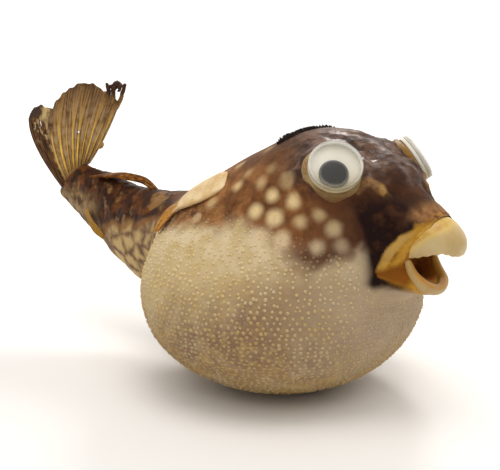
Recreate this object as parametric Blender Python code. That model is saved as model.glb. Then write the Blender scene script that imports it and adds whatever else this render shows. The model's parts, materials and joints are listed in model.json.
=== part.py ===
"""Dried, inflated pufferfish with plastic craft eyes glued over its own, life size.

The body is one smooth form, a fish's tapering trunk with the inflated belly hung below it, and is
then parted into head, back, belly and tail stem along an outline drawn in side view. The fins, the
beak, the dried eye rims and the craft eyes are fitted onto it.

Frame: the fish looks along -Y with +Z up, its mid-plane is X = 0, and the origin is on the small
flat that the belly rests on, below the rear edge of the head. Sizes are millimetres, turned into
metres by MM.
"""

import math

import bmesh
import bpy
import numpy as np
from mathutils import Matrix, Vector

MM = 0.001
GAP = 0.3  # left between two solids that touch
AROUND = 28  # points round the body
NARROWEST = 3.0  # half width of the body between its jaws, where the mouth is cut

# Trunk without the belly: (place along the body, middle height, half width, half height).
TRUNK = (
    (-43.4, 46.6, 4.2, 2.8),
    (-41.8, 45.9, 6.2, 4.9),
    (-38.0, 45.0, 9.0, 8.4),
    (-32.5, 47.1, 13.6, 12.5),
    (-25.0, 48.3, 16.0, 15.7),
    (-13.0, 49.4, 21.5, 17.9),
    (4.0, 44.8, 22.1, 17.6),
    (22.0, 38.9, 18.4, 13.9),
    (39.0, 34.6, 12.6, 13.2),
    (56.0, 32.5, 8.8, 14.4),
    (68.0, 35.6, 6.8, 12.6),
    (80.0, 40.9, 5.0, 10.7),
    (95.2, 47.0, 2.8, 8.6),
)
STEM_BEND_FROM = 60.0  # where the tail stem starts to turn up
STEM_BEND = 50.0  # degrees that its end has turned

BELLY_PLACE = 3.6  # the belly's middle along the body
BELLY_WAIST = 24.4  # height of its widest level
BELLY_WIDE = 37.0
BELLY_LONG = 36.5
BELLY_DEEP = 25.7  # below the waist, a little more than its height, which leaves the flat
BELLY_TALL = 30.0  # above the waist
BELLY_BLEND = 7.0

CHIN = (0.0, -35.8, 34.4)
CHIN_RADII = (8.2, 6.0, 4.2)
ORBIT = (12.1, -21.8, 55.9)  # the swelling under the left eye
ORBIT_RADIUS = 7.8

# Side-view lines (place along the body, height) that part the body into its named pieces.
BELLY_LINE = [(y, 38.0 - 0.0052 * (y - 4.0) ** 2) for y in range(-62, 63, 4)]
GILL_LINE = ((-1.0, 90.0), (-3.5, 60.0), (-5.0, 52.0), (-4.0, 44.0), (-1.0, 36.0))
STEM_LINE = ((36.0, 90.0), (37.5, 36.0), (42.0, 0.0))

# The mouth: right halves of the lips and of the lower beak, from the corner to the middle.
UPPER_LIP = ((-9.0, -33.6, 36.4), (-8.9, -36.4, 41.4), (-7.0, -39.4, 45.8), (-3.8, -42.2, 48.0), (0, -43.1, 48.7))
UPPER_LIP_WIDE = (1.0, 1.8, 1.8, 1.3, 1.0)
LOWER_LIP = ((-8.9, -33.8, 35.6), (-8.1, -36.2, 34.2), (-6.0, -39.2, 33.0), (-3.1, -41.2, 32.3), (0, -41.8, 32.1))
LOWER_LIP_WIDE = (1.0, 1.5, 1.5, 1.3, 1.2)
LOWER_BEAK = ((-6.2, -38.0, 38.6), (-5.8, -39.1, 35.8), (-4.6, -41.0, 33.6), (-2.5, -42.6, 32.7), (0, -43.2, 32.4))
LOWER_BEAK_WIDE = (0.8, 1.1, 1.2, 1.2, 1.2)
UPPER_BEAK = (0.0, -39.8, 42.8)
UPPER_BEAK_RADII = (6.6, 9.3, 6.4)
UPPER_BEAK_ROUND = 100.0  # degrees round from the front to its rear ends
UPPER_BEAK_EDGE = 40.5  # height of its cutting edge
BEAK_WALL = 2.2
MOUTH = (0.0, -40.6, 37.4)
MOUTH_RADII = (4.9, 8.4, 3.3)

EYE_RADIUS = 6.0  # a 12 mm craft eye
EYE_PLACE = (15.7, -25.4, 59.2)  # middle of the left eye's white backing
EYE_TURN = 45.0  # degrees that it looks out from straight ahead
EYE_LIFT = 33.0  # degrees that it looks up
EYE_BACKING = 0.9
EYE_HEIGHT = 3.6  # to the top of the clear dome
EYE_WALL = 0.5
PUPIL_RADIUS = 3.25
PUPIL_THICK = 0.7
PUPIL_SLIDE = 2.0  # how far a pupil has slid from the middle of its eye
PUPIL_ROLL = {"right": 24.0, "left": 0.0}  # degrees round from the lowest place
EYE_RIM_RADIUS = 7.0
EYE_RIM_DEPTH = 3.0

# The tail fin stands in a plane of its own, turned about the upright through its root. Across is
# towards the belly's end of the root, up is along the rays.
TAIL_FIN_ROOT = (0.0, 95.0, 45.1)
TAIL_FIN_TURN = 28.0
TAIL_FIN_FOOT = ((4.6, -1.0), (-6.0, 7.4))  # its two ends on the stem
TAIL_FIN_SIDE = ((15.6, 13.5), (-12.8, 18.5))  # what its two side edges bow towards
# (share of the way from the lower to the upper side edge, across, up) of the torn outer edge.
TAIL_FIN_EDGE = (
    (0.00, 14.9, 23.4), (0.05, 13.0, 25.8), (0.10, 11.0, 26.2), (0.15, 9.6, 25.2),
    (0.22, 6.4, 25.0), (0.25, 5.4, 27.4), (0.36, 1.9, 30.3), (0.50, -3.4, 32.9),
    (0.63, -7.7, 33.6), (0.74, -11.2, 30.9), (0.79, -12.8, 33.3), (0.88, -15.4, 32.0), (1.00, -19.1, 33.5),
)
TAIL_FIN_RAYS = 9

# Centre lines and half widths of the folded fins.
DORSAL_FIN = ((-0.3, 52.5, 48.0), (-0.8, 60.0, 49.3), (-1.8, 67.0, 50.2), (-3.6, 74.5, 50.5), (-5.4, 80.5, 49.2))
DORSAL_FIN_WIDE = (1.4, 2.0, 2.2, 1.5, 0.7)
ANAL_FIN = ((-5.6, 72.0, 29.0), (-6.4, 75.0, 32.0), (-6.5, 78.0, 35.6), (-6.1, 80.0, 39.0))
ANAL_FIN_WIDE = (0.9, 1.3, 1.3, 0.6)
# Side-view centre line of a pectoral fin, which lies along the flank, and its lift off the skin.
PECTORAL_FIN = ((5.2, 53.4), (10.5, 51.6), (15.5, 49.4), (20.0, 46.6), (24.5, 44.2), (27.6, 40.0))
PECTORAL_FIN_WIDE = (3.0, 4.0, 3.4, 1.9, 1.7, 0.5)
PECTORAL_FIN_LIFT = (1.1, 1.5, 1.8, 1.5, 1.4, 1.2)
FIN_THICK = 0.8


# ---------------------------------------------------------------- helpers


def material(name, colour, roughness, metallic=0.0):
    made = bpy.data.materials.new(name)
    made.use_nodes = True
    shader = made.node_tree.nodes["Principled BSDF"]
    shader.inputs["Base Color"].default_value = (*colour, 1.0)
    shader.inputs["Roughness"].default_value = roughness
    shader.inputs["Metallic"].default_value = metallic
    return made


def mesh_object(name, points, faces, finish=None, helper=False):
    """An object from points in millimetres, with its normals turned outwards."""
    mesh = bpy.data.meshes.new(name)
    mesh.from_pydata([tuple(float(c) * MM for c in p) for p in points], [], faces)
    work = bmesh.new()
    work.from_mesh(mesh)
    bmesh.ops.remove_doubles(work, verts=work.verts, dist=1e-6)
    bmesh.ops.recalc_face_normals(work, faces=work.faces)
    work.to_mesh(mesh)
    work.free()
    mesh.shade_smooth()
    mesh.set_sharp_from_angle(angle=math.radians(40))
    made = bpy.data.objects.new(name, mesh)
    bpy.context.scene.collection.objects.link(made)
    if finish:
        mesh.materials.append(finish)
    if helper:
        made.hide_render = True
        made.display_type = "WIRE"
    return made


def tube_faces(rings, around):
    """Faces of a closed tube of rings, with a fan over each end."""
    faces = []
    for i in range(rings - 1):
        for j in range(around):
            k = (j + 1) % around
            faces.append((i * around + j, i * around + k, (i + 1) * around + k, (i + 1) * around + j))
    first, last = rings * around, rings * around + 1
    for j in range(around):
        k = (j + 1) % around
        faces.append((first, k, j))
        faces.append((last, (rings - 1) * around + j, (rings - 1) * around + k))
    return faces


def shell(one, other, rows, columns):
    """Points and faces of the closed solid between two grids of points."""
    half = rows * columns
    faces = []
    for i in range(rows - 1):
        for j in range(columns - 1):
            a = i * columns + j
            quad = (a, a + 1, a + columns + 1, a + columns)
            faces += [quad, tuple(half + k for k in reversed(quad))]
    edge = [
        *range(columns), *range(2 * columns - 1, half, columns),
        *range(half - 2, half - columns - 1, -1), *range(half - 2 * columns, 0, -columns),
    ]
    faces += [(b, a, a + half, b + half) for a, b in zip(edge, [*edge[1:], edge[0]])]
    return np.concatenate([one, other]), faces


def boolean(target, cutter, operation):
    cut = target.modifiers.new(f"{operation.lower()}_{cutter.name}", "BOOLEAN")
    cut.operation = operation
    cut.object = cutter
    cut.solver = "MANIFOLD"
    return cut


def cut_all(target, cutters):
    """One cut by all of these at once, which stays clean where they cross each other."""
    group = bpy.data.collections.new("cut_" + target.name)
    for cutter in cutters:
        group.objects.link(cutter)
    cut = target.modifiers.new("cut_all", "BOOLEAN")
    cut.operation = "DIFFERENCE"
    cut.operand_type = "COLLECTION"
    cut.collection = group
    cut.solver = "MANIFOLD"


def smooth_curve(table, places):
    """Each column of the table after the first, at these places, on smooth curves through its rows."""
    table = np.array(table, float)
    at, values = table[:, 0], table[:, 1:]
    slopes = np.gradient(values, at, axis=0)
    place = np.clip(places, at[0], at[-1])
    i = np.clip(np.searchsorted(at, place) - 1, 0, len(at) - 2)
    step = (at[i + 1] - at[i])[:, None]
    t = ((place - at[i]) / step[:, 0])[:, None]
    return (
        (2 * t**3 - 3 * t**2 + 1) * values[i]
        + (t**3 - 2 * t**2 + t) * step * slopes[i]
        + (3 * t**2 - 2 * t**3) * values[i + 1]
        + (t**3 - t**2) * step * slopes[i + 1]
    )


def through(points, steps):
    """A smooth curve through these points, at even shares of the way."""
    points = np.array(points, float)
    shares = np.linspace(0, len(points) - 1, steps)
    return smooth_curve(np.column_stack([np.arange(len(points)), points]), shares)


def eased(x, low, high):
    t = np.clip((x - low) / (high - low), 0, 1)
    return t * t * (3 - 2 * t)


# ---------------------------------------------------------------- the body's form


def blended(a, b, reach):
    """The union of two fields, with a fillet of this reach."""
    h = np.clip(0.5 + 0.5 * (b - a) / reach, 0, 1)
    return b * (1 - h) + a * h - reach * h * (1 - h)


def body_field(x, across, half, place, height):
    """Below 0 inside the body, about 1 per millimetre outside it.

    x and across are the point's place in the trunk's own cross-section, half the section's half
    width and half height, and place and height the same point in side view.
    """
    trunk = (np.hypot(x / half[0], across / half[1]) - 1) * min(half)
    above = height > BELLY_WAIST
    belly = np.sqrt(
        (x / BELLY_WIDE) ** 2
        + ((place - BELLY_PLACE) / BELLY_LONG) ** 2
        + ((height - BELLY_WAIST) / np.where(above, BELLY_TALL, BELLY_DEEP)) ** 2
    )
    belly = (belly - 1) * BELLY_DEEP
    chin = np.sqrt(
        (x / CHIN_RADII[0]) ** 2
        + ((place - CHIN[1]) / CHIN_RADII[1]) ** 2
        + ((height - CHIN[2]) / CHIN_RADII[2]) ** 2
    )
    chin = (chin - 1) * CHIN_RADII[2]
    orbit = np.sqrt((np.abs(x) - ORBIT[0]) ** 2 + (place - ORBIT[1]) ** 2 + (height - ORBIT[2]) ** 2)
    head = blended(blended(trunk, chin, 2.5), orbit - ORBIT_RADIUS, 4.0)
    return blended(head, belly, BELLY_BLEND)


def body_rings():
    """The body's surface as rings from the snout to the end of the tail stem."""
    first, last = TRUNK[0][0], TRUNK[-1][0]
    front = BELLY_PLACE - BELLY_LONG
    places = np.concatenate(
        [
            np.linspace(first, front - 2.4, 6),
            front + np.array([-1.6, -0.9, -0.2, 0.6, 1.8, 3.4, 5.6]),
            np.linspace(front + 8.6, BELLY_PLACE + BELLY_LONG - 4.0, 16),
            BELLY_PLACE + BELLY_LONG + np.array([-2.2, -0.6, 1.2, 3.4]),
            np.linspace(BELLY_PLACE + BELLY_LONG + 7, last, 12),
        ]
    )
    angles = np.arange(AROUND) * 2 * math.pi / AROUND
    distances = np.linspace(75, 0, 301)
    rings = []
    for place, (middle, wide, tall) in zip(places, smooth_curve(TRUNK, places)):
        turn = math.radians(STEM_BEND) * eased(place, STEM_BEND_FROM, last)
        up = np.array([0, -math.sin(turn), math.cos(turn)])

        def outermost(hub, direction):
            """How far the surface is from the hub, seen from outside."""
            side = direction[:, 0, None] * distances
            lift = direction[:, 1, None] * distances
            across = lift + hub
            field = body_field(side, across, (wide, tall), place + up[1] * across, middle + up[2] * across)
            k = np.argmax(field < 0, axis=1)
            rows = np.arange(len(direction))
            outside, inside = field[rows, k - 1], field[rows, k]
            share = outside / (outside - inside)
            found = distances[k - 1] + share * (distances[k] - distances[k - 1])
            # Between the jaws a ray may miss both.
            return np.where(k > 0, found, NARROWEST)

        top, bottom = outermost(0.0, np.array([[0.0, 1.0], [0.0, -1.0]]))
        hub = (top - bottom) / 2
        direction = np.stack([np.sin(angles), np.cos(angles)], axis=1)
        reach = outermost(hub, direction)
        centre = np.array([0, place, middle]) + hub * up
        ring = centre + reach[:, None] * (direction[:, :1] * [1, 0, 0] + direction[:, 1:] * up)
        ring[:, 2] = np.maximum(ring[:, 2], 0)
        rings.append(ring)
    return rings


def body_points():
    rings = body_rings()
    nose = rings[0].mean(axis=0) - [0, 0.9, 0]
    return [*np.concatenate(rings), nose, rings[-1].mean(axis=0)], tube_faces(len(rings), AROUND)


def region(name, outline):
    """A hidden block with this outline in side view, wider than the fish."""
    count = len(outline)
    points = [(x, y, z) for x in (-70, 70) for y, z in outline]
    faces = [tuple(range(count)), tuple(range(2 * count - 1, count - 1, -1))]
    faces += [(i, (i + 1) % count, count + (i + 1) % count, count + i) for i in range(count)]
    return mesh_object(name, points, faces, helper=True)


def shifted(line, along=0.0, up=0.0):
    return [(y + along, z + up) for y, z in line]


def line_height(line, place):
    return float(np.interp(place, [p[0] for p in line], [p[1] for p in line]))


def body_parts(finishes):
    points, faces = body_points()
    half = GAP / 2
    stem_cut = line_height([(z, y) for y, z in STEM_LINE[::-1]], line_height(BELLY_LINE, 40.0))
    under = shifted(BELLY_LINE, up=-half)
    over = shifted(BELLY_LINE, up=half)
    gill_foot = (GILL_LINE[-1][0], line_height(BELLY_LINE, GILL_LINE[-1][0]))
    stem_foot = (stem_cut, line_height(BELLY_LINE, stem_cut))
    before = lambda line, y: [p for p in line if p[0] < y - 1.0]
    within = lambda line, a, b: [p for p in line if a + 1.0 < p[0] < b - 1.0]
    outlines = {
        "belly": [
            (-60, -5),
            *before(under, stem_foot[0]),
            (stem_foot[0] - half, stem_foot[1] - half),
            (STEM_LINE[-1][0] - half, STEM_LINE[-1][1] - 5),
        ],
        "head": [
            *before(over, gill_foot[0]),
            (gill_foot[0] - half, gill_foot[1] + half),
            *shifted(GILL_LINE[-2::-1], along=-half),
            (-60, 90),
        ],
        "back": [
            (gill_foot[0] + half, gill_foot[1] + half),
            *within(over, gill_foot[0], stem_foot[0]),
            (stem_foot[0] - half, stem_foot[1] + half),
            *shifted(STEM_LINE[-2::-1], along=-half),
            *shifted(GILL_LINE[:-1], along=half),
        ],
        "tail_stem": [
            *shifted(STEM_LINE, along=half),
            (STEM_LINE[-1][0] + half, -5),
            (120, -5),
            (120, 90),
        ],
    }
    made = {}
    for name, outline in outlines.items():
        part = mesh_object(name, points, faces, finishes[name])
        boolean(part, region("cut_" + name, outline), "INTERSECT")
        made[name] = part
    return made


# ---------------------------------------------------------------- mouth


def ellipsoid(name, centre, radii, finish=None, around=28, rings=18, phase=0.0):
    points = []
    for i in range(1, rings):
        polar = math.pi * i / rings
        for j in range(around):
            turn = 2 * math.pi * j / around + phase
            unit = (math.sin(polar) * math.cos(turn), math.sin(polar) * math.sin(turn), math.cos(polar))
            points.append([c + r * u for c, r, u in zip(centre, radii, unit)])
    points += [[centre[0], centre[1], centre[2] + s * radii[2]] for s in (1, -1)]
    return mesh_object(name, points, tube_faces(rings - 1, around), finish, helper=finish is None)


def mirrored(half):
    return [*half, *[(-x, y, z) for x, y, z in half[-2::-1]]]


def band(name, half, wide, finish=None, grow=0.0, around=10, steps=21):
    """A round band along a path and its mirror image."""
    path = through(mirrored(half), steps)
    radii = through([[w] for w in [*wide, *wide[-2::-1]]], steps)[:, 0] + grow
    ahead = np.gradient(path, axis=0)
    ahead /= np.linalg.norm(ahead, axis=1)[:, None]
    middle = path.mean(axis=0) + [0, 6, 0]
    points = []
    for centre, radius, along in zip(path, radii, ahead):
        out = centre - middle
        out -= along * (out @ along)
        out /= np.linalg.norm(out)
        side = np.cross(along, out)
        for j in range(around):
            turn = 2 * math.pi * j / around
            points.append(centre + radius * (math.cos(turn) * out + math.sin(turn) * side))
    points += [path[0] - ahead[0] * radii[0] * 0.5, path[-1] + ahead[-1] * radii[-1] * 0.5]
    return mesh_object(name, points, tube_faces(steps, around), finish, helper=finish is None)


def upper_beak(finish):
    """Half a dome, hollow below and behind, with its cutting edge level."""
    turns = np.radians(np.linspace(-UPPER_BEAK_ROUND, UPPER_BEAK_ROUND, 17))[:, None]
    rise = np.linspace(0, 1, 7)[None, :]
    walls = []
    for thin in (0.0, BEAK_WALL):
        radii = np.array(UPPER_BEAK_RADII) - thin
        low = (UPPER_BEAK_EDGE - UPPER_BEAK[2]) / radii[2]
        z = low + (0.995 - low) * np.sin(rise * math.pi / 2)
        round_ = np.sqrt(1 - z**2)
        x = UPPER_BEAK[0] + radii[0] * round_ * np.sin(turns)
        y = UPPER_BEAK[1] - radii[1] * round_ * np.cos(turns)
        walls.append(np.stack([x, y, UPPER_BEAK[2] + radii[2] * (z + 0 * turns)], axis=-1).reshape(-1, 3))
    return mesh_object("beak_upper", *shell(*walls, turns.size, rise.size), finish)


def mouth(finishes):
    """The lips and beak, and the room they take out of the head."""
    upper_lip = band("upper_lip", UPPER_LIP, UPPER_LIP_WIDE, finishes["lip"])
    lower_lip = band("lower_lip", LOWER_LIP, LOWER_LIP_WIDE, finishes["lip"])
    band("beak_lower", LOWER_BEAK, LOWER_BEAK_WIDE, finishes["beak"])
    upper_beak(finishes["beak"])
    upper_room = band("cut_upper_lip", UPPER_LIP, UPPER_LIP_WIDE, grow=1.2 * GAP, around=9, steps=15)
    lower_room = band("cut_lower_lip", LOWER_LIP, LOWER_LIP_WIDE, grow=1.2 * GAP, around=9, steps=15)
    tooth_room = band("cut_beak_lower", LOWER_BEAK, LOWER_BEAK_WIDE, grow=1.2 * GAP, around=8, steps=15)
    beak_room = ellipsoid("cut_beak_upper", UPPER_BEAK, [r + 1.6 * GAP for r in UPPER_BEAK_RADII], around=22, rings=13, phase=0.06)
    throat = ellipsoid("cut_mouth", MOUTH, MOUTH_RADII, around=17, rings=11, phase=0.11)
    cut_all(upper_lip, [beak_room])
    cut_all(lower_lip, [beak_room, upper_room, tooth_room])
    return [beak_room, throat, upper_room, lower_room, tooth_room]


# ---------------------------------------------------------------- craft eyes


def turned(name, profile, place, finish=None, around=22):
    """A solid of revolution about an eye's axis, from (radius, height) pairs that start and end on it."""
    points = [
        place @ Vector((r * math.cos(a), r * math.sin(a), h))
        for r, h in profile[1:-1]
        for a in (2 * math.pi * j / around for j in range(around))
    ]
    points += [place @ Vector((0, 0, profile[k][1])) for k in (0, -1)]
    return mesh_object(name, points, tube_faces(len(profile) - 2, around), finish, helper=finish is None)


def eye_frame(side):
    """The eye's own frame: its axis is Z, and its X points down the slope of its face."""
    sign = 1 if side == "left" else -1
    turn, lift = math.radians(EYE_TURN), math.radians(EYE_LIFT)
    axis = Vector((sign * math.sin(turn) * math.cos(lift), -math.cos(turn) * math.cos(lift), math.sin(lift)))
    down = Vector((0, 0, -1))
    down = (down - axis * down.dot(axis)).normalized()
    turned_frame = Matrix((down, axis.cross(down), axis)).transposed().to_4x4()
    return Matrix.Translation((sign * EYE_PLACE[0], EYE_PLACE[1], EYE_PLACE[2])) @ turned_frame


def arc(radius, height, rise, steps):
    """A dome's (radius, height) pairs, from its edge to its top."""
    return [
        (radius * math.cos(t), height + rise * math.sin(t))
        for t in (math.pi / 2 * i / steps for i in range(steps + 1))
    ]


def craft_eye(side, finishes):
    """A craft eye on its dried rim, and the room the rim takes out of the head."""
    place = eye_frame(side)
    rim = [
        (0, -EYE_RIM_DEPTH), (EYE_RIM_RADIUS, -EYE_RIM_DEPTH), (EYE_RIM_RADIUS, -2.0),
        (EYE_RIM_RADIUS - 0.3, -1.0), (EYE_RIM_RADIUS - 1.0, -0.4), (EYE_RIM_RADIUS - 1.6, -GAP), (0, -GAP),
    ]
    turned(f"eye_rim_{side}", rim, place, finishes["eye_rim"], around=20)
    socket = EYE_RIM_RADIUS + GAP
    room = [(0, -EYE_RIM_DEPTH - GAP), (socket, -EYE_RIM_DEPTH - GAP), (socket, 6.0), (0, 6.0)]
    head_room = turned(f"cut_eye_{side}", room, place)

    backing = [
        (0, 0), (EYE_RADIUS - 0.15, 0), (EYE_RADIUS, 0.15), (EYE_RADIUS, EYE_BACKING - 0.1),
        (EYE_RADIUS - 0.1, EYE_BACKING), (0, EYE_BACKING),
    ]
    turned(f"eye_backing_{side}", backing, place, finishes["eye_white"])

    low = EYE_BACKING + 0.12
    shoulder = low + 0.9
    outer = arc(EYE_RADIUS, shoulder, EYE_HEIGHT - shoulder, 3)
    inner = arc(EYE_RADIUS - EYE_WALL, shoulder, EYE_HEIGHT - shoulder - EYE_WALL, 3)
    dome = [*outer[::-1], (EYE_RADIUS, low), (EYE_RADIUS - EYE_WALL, low), *inner]
    turned(f"eye_dome_{side}", dome, place, finishes["eye_clear"])

    roll = math.radians(PUPIL_ROLL[side])
    slide = Matrix.Translation((PUPIL_SLIDE * math.cos(roll), PUPIL_SLIDE * math.sin(roll), 0))
    base = EYE_BACKING + 0.15
    top = base + PUPIL_THICK
    pupil = [(0, base), (PUPIL_RADIUS, base), (PUPIL_RADIUS, top - 0.15), (PUPIL_RADIUS - 0.15, top), (0, top)]
    disc = turned(f"eye_pupil_{side}", pupil, place @ slide, finishes["eye_pupil"])
    # The loose disc slides round the middle of its eye, so its origin is on the eye's axis.
    middle = place.translation * MM
    disc.data.transform(Matrix.Translation(-middle))
    disc.location = middle
    return head_room


# ---------------------------------------------------------------- fins


def sheet(name, grid, thick, finish):
    """A closed fin from a grid of middle points and the thickness at each of them."""
    rows, columns = grid.shape[:2]
    normal = np.cross(np.gradient(grid, axis=0), np.gradient(grid, axis=1))
    normal /= np.linalg.norm(normal, axis=2)[..., None]
    offset = normal * thick[..., None] / 2
    one, other = (grid + offset).reshape(-1, 3), (grid - offset).reshape(-1, 3)
    return mesh_object(name, *shell(one, other, rows, columns), finish)


def tail_fin(finish):
    across_steps, up_steps = 3 * TAIL_FIN_RAYS + 1, 7
    turn = math.radians(TAIL_FIN_TURN)
    across = np.array([-math.sin(turn), math.cos(turn), 0])
    facing = np.array([math.cos(turn), math.sin(turn), 0])
    u = np.linspace(0, 1, across_steps)[:, None]
    v = np.linspace(0, 1, up_steps)[None, :]
    edge = np.array(TAIL_FIN_EDGE)
    tip = [np.interp(u, edge[:, 0], edge[:, k]) for k in (1, 2)]
    foot, side = np.array(TAIL_FIN_FOOT), np.array(TAIL_FIN_SIDE)
    place = []
    for k in (0, 1):
        start = foot[0, k] + (foot[1, k] - foot[0, k]) * u
        bow = side[0, k] + (side[1, k] - side[0, k]) * u
        place.append((1 - v) ** 2 * start + 2 * v * (1 - v) * bow + v**2 * tip[k])
    ripple = (1.0 * np.sin(9.0 * u + 1.0) + 0.5 * np.sin(21.0 * u)) * v**1.5 + 1.6 * (v - 0.4) ** 2
    grid = np.array(TAIL_FIN_ROOT) + place[0][..., None] * across + place[1][..., None] * [0, 0, 1]
    grid = grid + ripple[..., None] * facing
    ridge = np.cos(2 * math.pi * TAIL_FIN_RAYS * u) ** 2
    thick = 0.6 + (1.4 - 0.7 * v) * ridge * (1 - 0.5 * v)
    sheet("caudal_fin", grid, thick, finish)


def strip_fin(name, path, wide, lie, finish, steps=11, columns=3):
    """A narrow folded fin along a path, with its width along lie."""
    centres = through(path, steps)
    half = through([[w] for w in wide], steps)
    share = np.linspace(-1, 1, columns)
    lie = np.array(lie, float) / np.linalg.norm(lie)
    grid = centres[:, None, :] + (half * share)[..., None] * lie
    thick = np.full((steps, columns), FIN_THICK)
    sheet(name, grid, thick, finish)


def flank(place, height):
    """How far the skin is from the mid-plane at a place in side view."""
    middle, wide, tall = smooth_curve(TRUNK, np.array([place]))[0]
    side = np.linspace(60, 0, 1201)
    field = body_field(side, height - middle, (wide, tall), place, height)
    return side[np.argmax(field < 0)]


def pectoral_fin(side, finish):
    sign = 1 if side == "left" else -1
    steps, columns = 14, 5
    centres = through(PECTORAL_FIN, steps)
    half = through([[w] for w in PECTORAL_FIN_WIDE], steps)
    lift = through([[w] for w in PECTORAL_FIN_LIFT], steps)[:, 0]
    along = np.gradient(centres, axis=0)
    along /= np.linalg.norm(along, axis=1)[:, None]
    lie = np.column_stack([-along[:, 1], along[:, 0]])
    grid = np.zeros((steps, columns, 3))
    for i in range(steps):
        for j, share in enumerate(np.linspace(-1, 1, columns)):
            y, z = centres[i] + lie[i] * half[i] * share
            grid[i, j] = (sign * (flank(y, z) + lift[i] + 0.5 * share), y, z)
    thick = np.full((steps, columns), FIN_THICK)
    sheet(f"pectoral_fin_{side}", grid, thick, finish)


# ---------------------------------------------------------------- main


def main():
    for old in list(bpy.data.objects):
        bpy.data.objects.remove(old)
    finishes = {
        "belly": material("belly_skin", (0.62, 0.52, 0.36), 0.6),
        "head": material("head_skin", (0.16, 0.08, 0.05), 0.45),
        "back": material("back_skin", (0.26, 0.14, 0.08), 0.5),
        "tail_stem": material("stem_skin", (0.2, 0.1, 0.05), 0.3),
        "lip": material("lip_skin", (0.55, 0.32, 0.08), 0.4),
        "beak": material("beak", (0.8, 0.7, 0.5), 0.35),
        "eye_rim": material("eye_rim", (0.6, 0.5, 0.34), 0.6),
        "eye_white": material("eye_white", (0.85, 0.83, 0.76), 0.3),
        "eye_clear": material("eye_clear", (0.95, 0.95, 0.93), 0.05),
        "eye_pupil": material("eye_pupil", (0.06, 0.06, 0.07), 0.3),
        "tail_fin": material("tail_fin", (0.4, 0.25, 0.1), 0.45),
        "folded_fin": material("folded_fin", (0.55, 0.3, 0.06), 0.45),
        "pectoral": material("pectoral", (0.72, 0.62, 0.42), 0.55),
    }
    parts = body_parts(finishes)
    head_room = mouth(finishes)
    for side in ("right", "left"):
        head_room.append(craft_eye(side, finishes))
        pectoral_fin(side, finishes["pectoral"])
    cut_all(parts["head"], head_room)
    tail_fin(finishes["tail_fin"])
    strip_fin("dorsal_fin", DORSAL_FIN, DORSAL_FIN_WIDE, (1, 0, 0.5), finishes["folded_fin"])
    strip_fin("anal_fin", ANAL_FIN, ANAL_FIN_WIDE, (0.2, 0.5, -1), finishes["folded_fin"])


main()
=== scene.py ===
import json
import math

import bmesh
import bpy
import numpy as np
from mathutils import Matrix, Vector, noise
from mathutils.bvhtree import BVHTree


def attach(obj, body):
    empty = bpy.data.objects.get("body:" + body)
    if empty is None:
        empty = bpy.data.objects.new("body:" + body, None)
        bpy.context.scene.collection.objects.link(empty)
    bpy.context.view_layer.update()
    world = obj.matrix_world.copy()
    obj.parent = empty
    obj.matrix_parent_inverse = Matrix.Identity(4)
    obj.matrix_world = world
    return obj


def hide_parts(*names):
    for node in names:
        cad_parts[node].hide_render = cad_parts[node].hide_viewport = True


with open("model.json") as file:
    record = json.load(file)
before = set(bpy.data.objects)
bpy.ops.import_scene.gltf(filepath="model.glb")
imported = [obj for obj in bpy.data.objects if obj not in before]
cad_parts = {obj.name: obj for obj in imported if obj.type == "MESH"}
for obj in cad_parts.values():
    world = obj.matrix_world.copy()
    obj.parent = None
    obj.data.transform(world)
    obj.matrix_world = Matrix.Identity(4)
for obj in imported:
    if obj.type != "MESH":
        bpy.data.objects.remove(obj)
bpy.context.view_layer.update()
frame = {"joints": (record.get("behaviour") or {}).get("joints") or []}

# ---------------------------------------------------------------- camera, light and floor
# A specimen on a pale table top, seen from its front right corner, a little above its middle,
# under a broad soft lamp overhead with a weaker window light from the side.

LOOKED_AT = Vector((-0.0073, 0.0078, 0.0394))
# name, place, size, power and colour of each soft lamp.
LAMPS = (
    ("lamp_overhead", (-0.08, -0.06, 0.62), 0.34, 0.9, (1.0, 0.96, 0.90)),
    ("lamp_behind", (0.40, 0.24, 0.40), 0.14, 1.2, (1.0, 0.98, 0.95)),
    ("lamp_side", (0.42, -0.36, 0.40), 0.35, 0.4, (1.0, 0.97, 0.94)),
    ("lamp_camera_side", (-0.50, -0.30, 0.38), 0.45, 0.4, (1.0, 0.96, 0.92)),
)


def stood(name, thing, place=(0, 0, 0)):
    """An object of this camera, lamp or mesh in the scene."""
    made = bpy.data.objects.new(name, thing)
    bpy.context.scene.collection.objects.link(made)
    made.location = place
    return made


def aimed(made):
    made.rotation_euler = (LOOKED_AT - made.location).to_track_quat("-Z", "Y").to_euler()
    return made


view = bpy.data.cameras.new("view")
view.lens, view.sensor_width, view.sensor_fit = 59.04, 36.0, "HORIZONTAL"
view.clip_start = 0.01
bpy.context.scene.camera = aimed(stood("viewer", view, (-0.15963, -0.13425, 0.07613)))
bpy.context.scene.view_settings.view_transform = "Standard"

sky = bpy.data.worlds.new("soft_room")
sky.use_nodes = True
sky.node_tree.nodes["Background"].inputs["Color"].default_value = (1.0, 0.98, 0.95, 1)
sky.node_tree.nodes["Background"].inputs["Strength"].default_value = 0.27
bpy.context.scene.world = sky

for name, place, size, power, colour in LAMPS:
    lamp = bpy.data.lights.new(name, "AREA")
    lamp.shape, lamp.size, lamp.energy, lamp.color = "DISK", size, power, colour
    aimed(stood(name, lamp, place))
ceiling = bpy.data.lights.new("ceiling_light", "SUN")
ceiling.energy, ceiling.angle, ceiling.color = 1.5, math.radians(70), (1.0, 0.97, 0.92)
stood("ceiling_light", ceiling).rotation_euler = (math.radians(12), math.radians(-14), 0)


def add(tree, kind, values=None, **settings):
    """A node in the tree with these settings, and with these values or links on its inputs."""
    made = tree.nodes.new(kind)
    for key, value in settings.items():
        setattr(made, key, value)
    for key, value in (values or {}).items():
        if isinstance(value, bpy.types.NodeSocket):
            tree.links.new(value, made.inputs[key])
        else:
            made.inputs[key].default_value = value
    return made


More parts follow.
